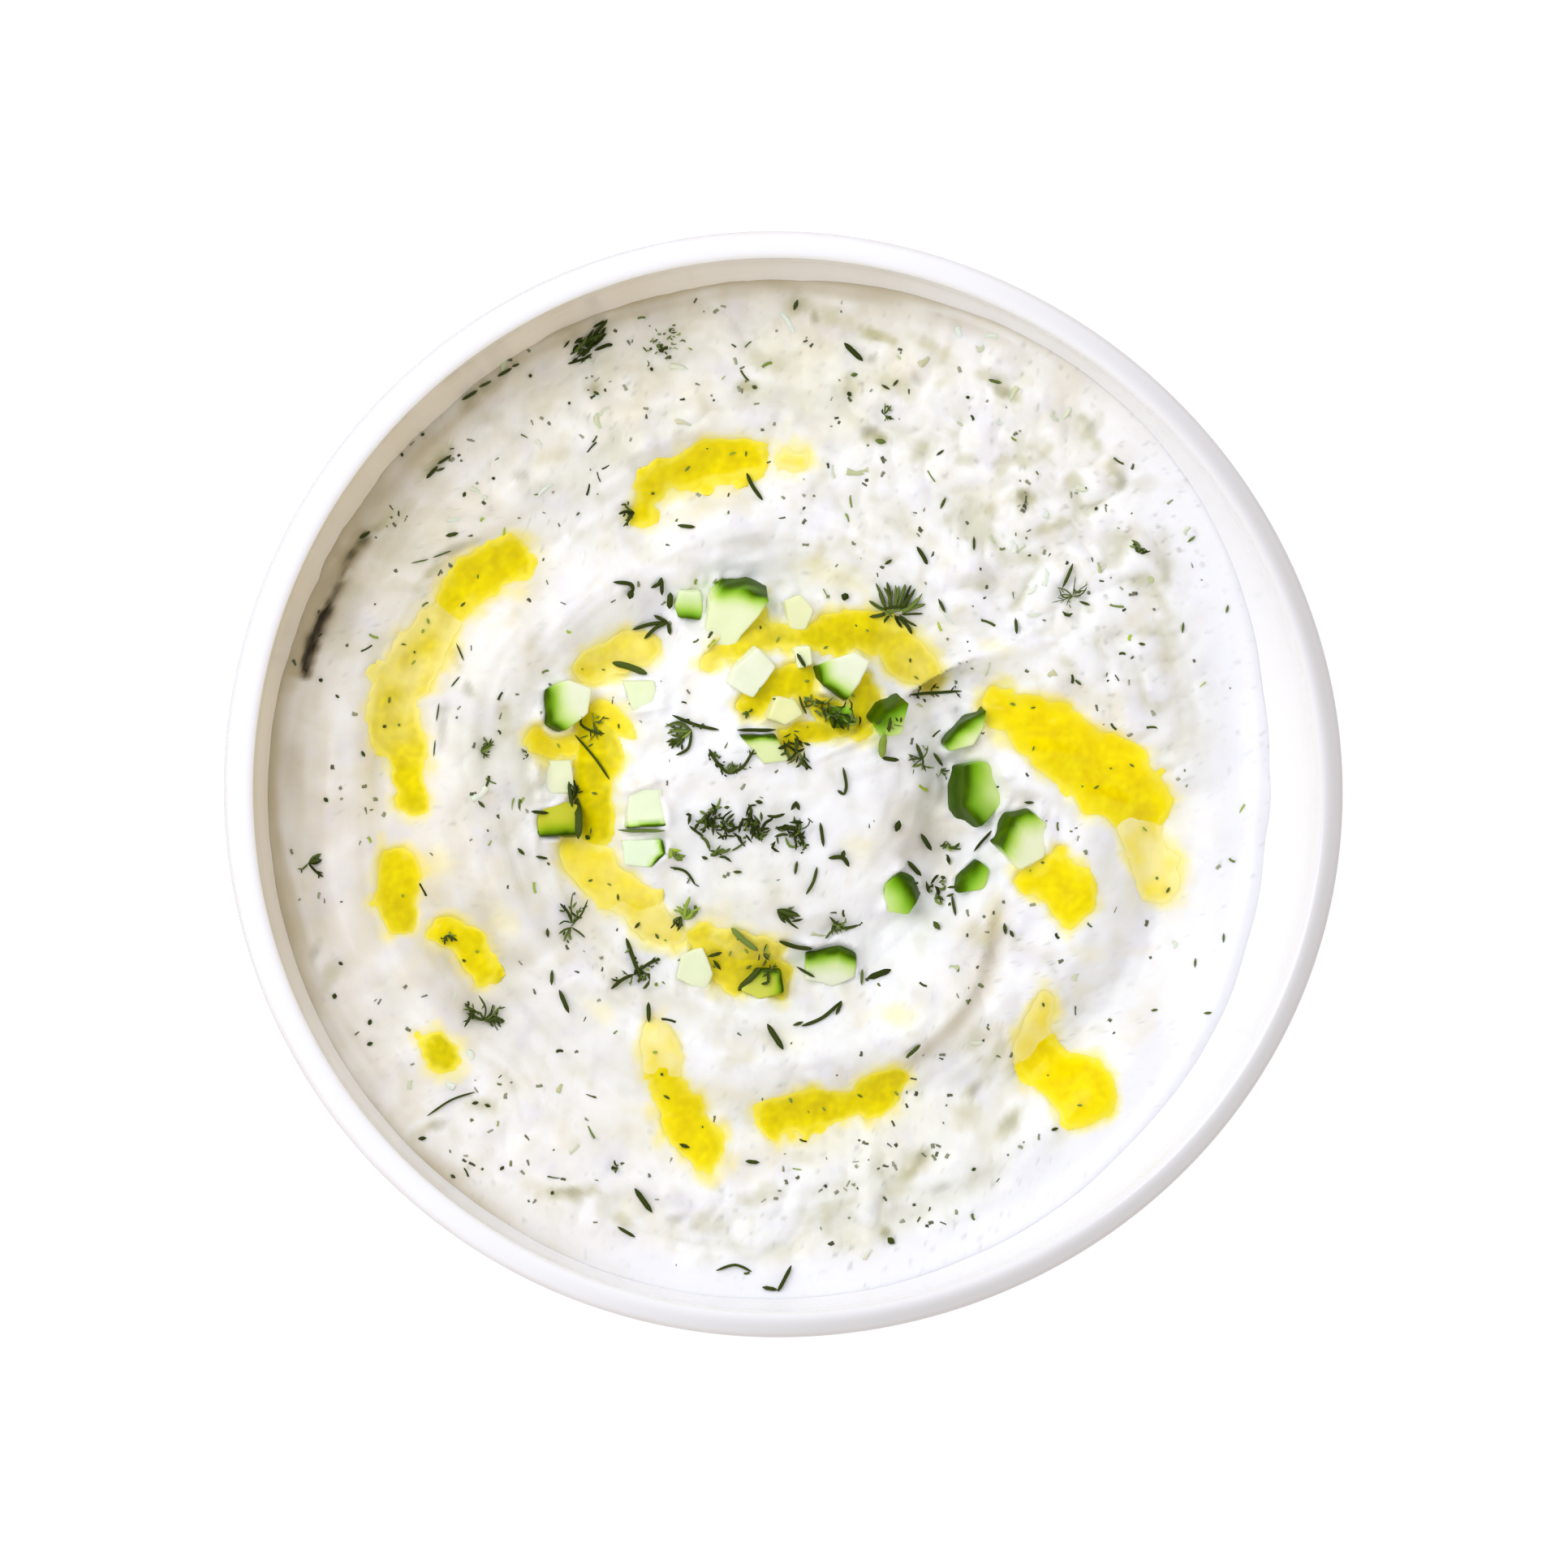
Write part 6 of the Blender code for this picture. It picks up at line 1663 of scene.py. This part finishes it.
# Single threads: (thickness in mm, shade, path)
THREADS = (
    (0.85, 0.06, ((10.8, 63.0), (13.5, 60.4))), (0.60, 0.08, ((-3.0, 44.2), (-2.2, 42.2), (-1.0, 40.4))),
    (0.90, 0.10, ((-0.2, -35.3), (1.8, -38.8))),
    (0.55, 0.12, ((4.7, -35.6), (7.7, -34.4), (10.6, -32.1))),
    (0.50, 0.12, ((9.7, -34.0), (10.7, -32.1))), (1.00, 0.06, ((14.6, -28.9), (18.0, -27.7))),
    (0.85, 0.10, ((-20.0, -58.5), (-17.5, -62.0))), (0.55, 0.12, ((-22.5, -64.0), (-20.0, -65.5))),
    (0.50, 0.16, ((10.4, 1.9), (10.9, -0.6), (10.6, -2.1))), (0.50, 0.16, ((9.6, -1.4), (10.6, -2.1))),
    (0.65, 0.10, ((21.3, 33.6), (22.3, 32.1), (22.8, 31.0))),
    (0.40, 0.18, ((-27.7, 6.5), (-25.1, 3.3), (-23.1, 0.2))),
    (0.70, 0.14, ((-30.7, -29.9), (-29.2, -33.3))), (0.50, 0.20, ((-31.8, -27.0), (-31.8, -29.2))),
    (0.65, 0.12, ((-17.6, -31.9), (-17.7, -34.7))), (0.60, 0.16, ((-13.2, 36.8), (-10.8, 36.6))),
    (1.20, 0.74, ((16.1, 6.8), (16.1, 3.2))), (0.70, 0.12, ((16.1, 3.2), (18.7, 2.8))),
    (0.95, 0.62, ((-5.5, -21.3), (-3.8, -23.0), (-1.5, -24.7))),
    (0.45, 0.05, ((30.0, -10.7), (32.4, -7.6))),
    (1.00, 0.30, ((-22.3, 16.9), (-20.0, 16.4), (-17.6, 15.4))),
    (0.55, 0.52, ((-22.0, -7.0), (-15.5, -7.0))),
    (0.70, 0.10, ((1.5, -23.3), (4.0, -24.2), (6.4, -24.5))),
    (0.70, 0.12, ((8.3, -11.2), (10.3, -11.1), (11.4, -12.5))),
    (0.70, 0.12, ((10.6, -10.1), (10.3, -11.2))), (0.75, 0.10, ((22.4, -8.1), (24.1, -10.6))),
    (0.75, 0.12, ((20.4, -12.0), (22.5, -14.2))), (0.45, 0.22, ((26.8, -17.0), (27.2, -19.9))),
    (0.60, 0.20, ((21.4, 5.1), (22.5, 2.5))), (0.55, 0.22, ((24.2, 3.6), (25.7, 1.6))),
    (0.45, 0.12, ((37.0, -3.5), (38.4, -3.5))), (1.00, 0.05, ((18.4, -7.6), (18.9, -6.0))),
    (0.55, 0.16, ((34.2, -21.0), (34.4, -22.6))), (0.85, 0.34, ((24.2, -20.8), (25.0, -21.9))),
    (0.60, 0.12, ((3.7, 18.4), (4.9, 16.4))), (1.20, 0.06, ((11.0, 26.4), (12.0, 26.0))),
    (0.50, 0.20, ((16.7, 31.0), (17.8, 31.7))), (0.50, 0.22, ((35.6, 23.2), (35.8, 20.9))),
    (0.55, 0.16, ((42.5, 24.1), (43.2, 23.5), (44.0, 23.8))),
    (0.65, 0.10, ((-22.8, 28.8), (-20.3, 28.5), (-19.8, 27.2))),
    (1.00, 0.10, ((-20.0, 27.6), (-20.3, 26.3))),
    (0.60, 0.10, ((-17.1, 27.8), (-16.0, 28.4), (-15.6, 29.3))),
    (0.60, 0.10, ((-15.6, 29.3), (-15.4, 26.7))), (0.95, 0.14, ((-14.2, 27.1), (-14.2, 24.7))),
    (0.60, 0.14, ((-19.3, 21.6), (-16.9, 22.4), (-14.4, 22.7))),
    (0.60, 0.12, ((-16.3, 23.7), (-14.3, 22.7))),
    (0.60, 0.14, ((-17.7, 20.3), (-16.0, 21.9), (-14.4, 22.7))),
    (0.60, 0.12, ((-14.3, 22.7), (-14.0, 20.9))),
    (0.40, 0.16, ((-27.1, 9.3), (-26.8, 7.9), (-25.1, 7.0), (-23.7, 6.8))),
    (1.15, 0.24, ((-27.4, -2.6), (-27.6, -8.3))), (0.60, 0.16, ((-28.8, -0.1), (-28.4, -3.8))),
    (0.55, 0.08, ((-34.4, -4.3), (-31.8, -4.6))), (0.70, 0.14, ((-26.3, -8.0), (-25.7, -8.5))),
    (0.45, 0.14, ((-33.7, -10.8), (-31.9, -11.2))), (0.50, 0.18, ((-19.1, -21.5), (-18.4, -20.6))),
    (0.50, 0.18, ((-32.4, -21.0), (-32.3, -22.3))), (0.45, 0.14, ((4.5, -27.3), (6.9, -28.7))),
    (0.45, 0.44, ((13.9, -27.6), (13.7, -29.9))), (0.55, 0.14, ((-8.6, -25.6), (-6.6, -25.0))),
    (0.55, 0.14, ((-7.7, -26.2), (-6.6, -27.6))),
    (0.95, 0.24, ((-4.0, -30.7), (-2.6, -29.0), (-0.9, -27.3))),
    (0.50, 0.20, ((0.0, -27.6), (0.1, -29.3), (-0.9, -29.6))), (0.55, 0.10, ((-5.2, 7.5), (0.5, 7.5))),
    (0.60, 0.08, ((0.5, -6.8), (3.4, -6.8), (4.8, -9.4))), (0.60, 0.10, ((-2.4, -2.8), (-1.3, -3.1))),
    (0.60, 0.10, ((2.8, -4.2), (3.5, -2.9))), (0.60, 0.10, ((3.5, -2.9), (4.0, -4.2))),
    (0.50, 0.22, ((5.2, -16.5), (6.2, -14.6), (6.7, -12.5))), (0.45, 0.24, ((3.8, -11.6), (3.5, -13.6))),
    (0.50, 0.30, ((-5.5, -13.1), (-4.2, -13.1))), (0.90, 0.60, ((-14.2, -10.5), (-12.8, -11.4))),
    (0.60, 0.24, ((19.6, -40.2), (21.6, -38.2))), (0.60, 0.16, ((-47.0, 35.6), (-45.2, 36.0))),
    (0.45, 0.20, ((45.0, 25.5), (46.5, 25.0))), (0.45, 0.20, ((24.5, 26.0), (25.5, 24.0))),
    (0.55, 0.16, ((35.0, -22.0), (35.5, -23.0))), (0.55, 0.18, ((-36.5, -9.5), (-35.5, -10.5))),
    (0.50, 0.20, ((3.5, -35.5), (5.0, -35.0))), (0.50, 0.22, ((42.5, 27.5), (44.0, 31.0))),
    (0.50, 0.20, ((-42.5, -2.5), (-41.5, -3.5))), (0.60, 0.14, ((-13.0, -52.5), (-11.5, -53.0))),
    (0.60, 0.14, ((-3.5, -55.0), (-1.5, -55.2))), (0.55, 0.12, ((7.5, -9.5), (7.0, -6.0))),
    (0.60, 0.10, ((0.4, -73.4), (1.4, -71.8), (2.6, -69.8))), (0.60, 0.12, ((0.4, -73.2), (-1.8, -72.8))),
    (0.45, 0.16, ((-8.4, -70.4), (-5.6, -69.6), (-3.2, -70.6))),
    (0.35, 0.16, ((-50.0, -47.8), (-46.6, -45.6), (-43.0, -44.4))),
)
# A bushy tip whose needles stand up side by side: (foot, tip of each needle)
BUSH = (
    ((17.4, 24.0), (15.7, 28.2)), ((17.6, 24.2), (16.2, 26.8)), ((17.9, 24.2), (17.2, 28.4)),
    ((18.2, 24.4), (18.0, 27.2)), ((18.6, 24.3), (18.9, 27.8)), ((18.9, 24.4), (19.8, 28.1)),
    ((19.2, 24.3), (20.4, 26.6)), ((19.4, 24.2), (21.2, 27.5)), ((19.6, 24.0), (22.2, 26.8)),
    ((19.6, 23.8), (22.7, 25.2)), ((19.4, 23.6), (22.5, 23.8)), ((19.2, 23.6), (21.8, 21.9)),
    ((19.0, 23.4), (21.2, 20.7)), ((18.7, 23.5), (19.8, 21.6)), ((17.6, 23.8), (15.1, 23.2)),
    ((17.5, 24.1), (14.9, 25.6)), ((18.2, 23.6), (17.2, 22.3)), ((17.0, 24.4), (20.6, 25.0)),
    ((17.2, 23.6), (21.4, 24.6)), ((18.0, 24.9), (16.8, 27.6)), ((18.8, 25.0), (18.4, 28.0)),
    ((19.6, 25.0), (20.6, 28.0)), ((20.0, 24.6), (21.8, 26.2)), ((18.4, 23.2), (16.4, 24.6)),
)
# Crumbs of chopped dill that stand out: (x, y, length in mm, heading, thickness in mm, shade)
CRUMBS = (
    (-52.8, 47.1, 0.4, 0, 0.6, 0.05), (-49.8, 50.0, 0.6, 40, 0.45, 0.1), (-40.0, 43.8, 0.5, 0, 0.5, 0.08),
    (-44.2, 41.5, 0.8, 70, 0.5, 0.12), (-34.3, 58.4, 0.5, 0, 0.6, 0.05),
    (-16.9, 59.3, 0.5, 20, 0.6, 0.08), (-28.9, 54.5, 0.4, 0, 0.5, 0.1), (-24.9, 55.9, 0.9, -30, 0.5, 0.3),
    (-2.2, 56.7, 0.8, -20, 0.6, 0.3), (-63.2, -30.5, 0.8, 80, 0.7, 0.12),
    (-58.1, -34.3, 0.9, 70, 0.6, 0.1), (-58.1, -37.4, 0.9, 20, 0.6, 0.12),
    (-62.3, -25.8, 0.7, -30, 0.5, 0.1), (-50.7, -51.0, 1.2, 5, 0.6, 0.08),
    (-39.2, -55.4, 0.8, 40, 0.5, 0.1), (-46.3, -56.5, 0.8, -30, 0.5, 0.14),
    (-43.0, -46.0, 1.0, 10, 0.5, 0.1), (-41.2, -46.4, 0.9, -20, 0.5, 0.12),
    (-32.0, -59.0, 0.6, 60, 0.5, 0.1), (17.3, -66.5, 1.2, -40, 1.0, 0.16),
    (56.2, -33.8, 1.0, 10, 0.4, 0.4), (63.6, -34.1, 1.2, 5, 0.4, 0.4), (41.3, -50.7, 1.1, 15, 0.5, 0.1),
    (29.3, -56.3, 0.7, 30, 0.5, 0.16), (62.1, -27.0, 1.4, 85, 0.35, 0.4),
    (66.2, -23.4, 1.4, 88, 0.35, 0.45), (58.7, -16.7, 1.0, 60, 0.4, 0.4), (28.6, 55.1, 0.6, 0, 0.5, 0.1),
    (11.6, 55.6, 0.6, 30, 0.8, 0.06), (47.4, 38.9, 0.6, 50, 0.5, 0.2), (54.1, 19.3, 1.0, -10, 0.45, 0.3),
    (60.3, 21.5, 1.6, 85, 0.4, 0.4), (66.6, 24.2, 1.2, 80, 0.4, 0.5), (61.2, 34.4, 1.4, 40, 0.4, 0.5),
    (-44.8, 18.8, 2.6, -70, 0.28, 0.2), (-45.6, 14.6, 2.0, 50, 0.26, 0.25),
    (-48.1, 10.2, 2.6, 80, 0.24, 0.3), (-48.6, 5.0, 2.4, 85, 0.24, 0.35),
    (-58.7, 4.2, 1.0, -60, 0.5, 0.2), (-48.6, 44.6, 2.4, 48, 0.55, 0.1),
    (-46.8, 46.4, 2.4, 32, 0.45, 0.14), (-47.4, 45.0, 1.4, 20, 0.4, 0.3),
    (-43.0, 55.6, 2.6, 32, 0.5, 0.16), (-40.8, 57.2, 2.0, 26, 0.4, 0.2),
    (-38.0, 58.9, 2.4, 30, 0.5, 0.14), (-36.4, 59.9, 1.2, 20, 0.4, 0.2),
    (-58.2, 35.6, 1.8, 34, 0.5, 0.12), (-64.9, 14.9, 0.6, 0, 0.6, 0.08), (4.0, 68.4, 1.6, 70, 0.6, 0.2),
    (16.8, 56.6, 1.4, -30, 0.4, 0.15), (18.2, 57.2, 1.2, 50, 0.4, 0.15), (16.1, 48.8, 1.6, -10, 0.8, 0.5),
    (12.3, 58.4, 1.0, 10, 0.6, 0.4), (24.7, 47.1, 1.4, 35, 0.4, 0.2), (32.5, 57.4, 2.0, -15, 0.5, 0.4),
    (25.2, 39.8, 1.8, 65, 0.45, 0.3), (29.6, 34.0, 2.0, 88, 0.4, 0.2), (44.8, 13.8, 1.2, -40, 0.4, 0.3),
    (-50.6, 31.9, 2.6, 12, 0.22, 0.4), (-47.4, 32.9, 2.8, 20, 0.24, 0.35),
    (-64.4, -2.2, 0.8, -40, 0.6, 0.14), (-55.4, 8.0, 0.6, 30, 0.5, 0.2),
    (-62.6, 12.6, 0.7, -40, 0.4, 0.2),
)
rng = np.random.default_rng(SPRIG_SEED)
for row in FANS:
    fan(rng, *row)
for row in HEAPS:
    heap(rng, *row)
for base, thickness, shade, tips in BURSTS:
    burst(rng, base, tips, thickness, shade)
for row in FRONDS:
    frond(rng, *row)
for thickness, shade, path in THREADS:
    lay(path, thickness, shade, rng.uniform(0, 0.25), rng.uniform(0, 0.2))
for foot, tip in BUSH:
    bend = (foot[0] + tip[0]) / 2 + rng.normal(0, 0.15), (foot[1] + tip[1]) / 2 + rng.normal(0, 0.15)
    lay((foot, bend, tip), rng.uniform(0.35, 0.6), shifted(rng, 0.34, 0.2), rng.uniform(0.1, 0.7))
for x, y, length, heading, thickness, shade in CRUMBS:
    half_x, half_y = polar(heading, length / 2)
    lay(((x - half_x, y - half_y), (x + half_x, y + half_y)), thickness, shade)

# Bits of dill that lie on the oil.
for line in pool_lines.values():
    for _ in range(len(line) // STEPS_PER_BIT):
        middle_x, middle_y, half = line[rng.integers(len(line))] / MM
        turn, side = rng.uniform(0, math.tau, 2)
        x = middle_x + 0.8 * half * math.cos(side) * rng.uniform()
        y = middle_y + 0.8 * half * math.sin(side)
        end = step_from((x, y), turn, rng.uniform(0.2, 1.1))
        lay([(x, y), end], rng.uniform(0.2, 0.45), rng.uniform(0.3, 0.85))

tree, inputs = new_tree("dill_threads", ("Material", "Material"))
curves = add(tree, "GeometryNodeMeshToCurve", [("Mesh", inputs["Geometry"])])
thick = add(tree, "GeometryNodeInputNamedAttribute", [("Name", "thick")], data_type="FLOAT")
tubes = tube(tree, curves.outputs["Curve"], TUBE_SIDES, radius=1.0, scale=thick.outputs["Attribute"])
finish_tree(tree, tubes, inputs["Material"])
threads_mesh = bpy.data.meshes.new("dill_threads")
threads_mesh.from_pydata(strand_points, strand_edges, [])
mark(threads_mesh, "thick", strand_thick)
mark(threads_mesh, "shade", strand_shade)
sprigs = grow("dill_sprigs", threads_mesh, tree, Material=dill_leaf)
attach(sprigs, "root")
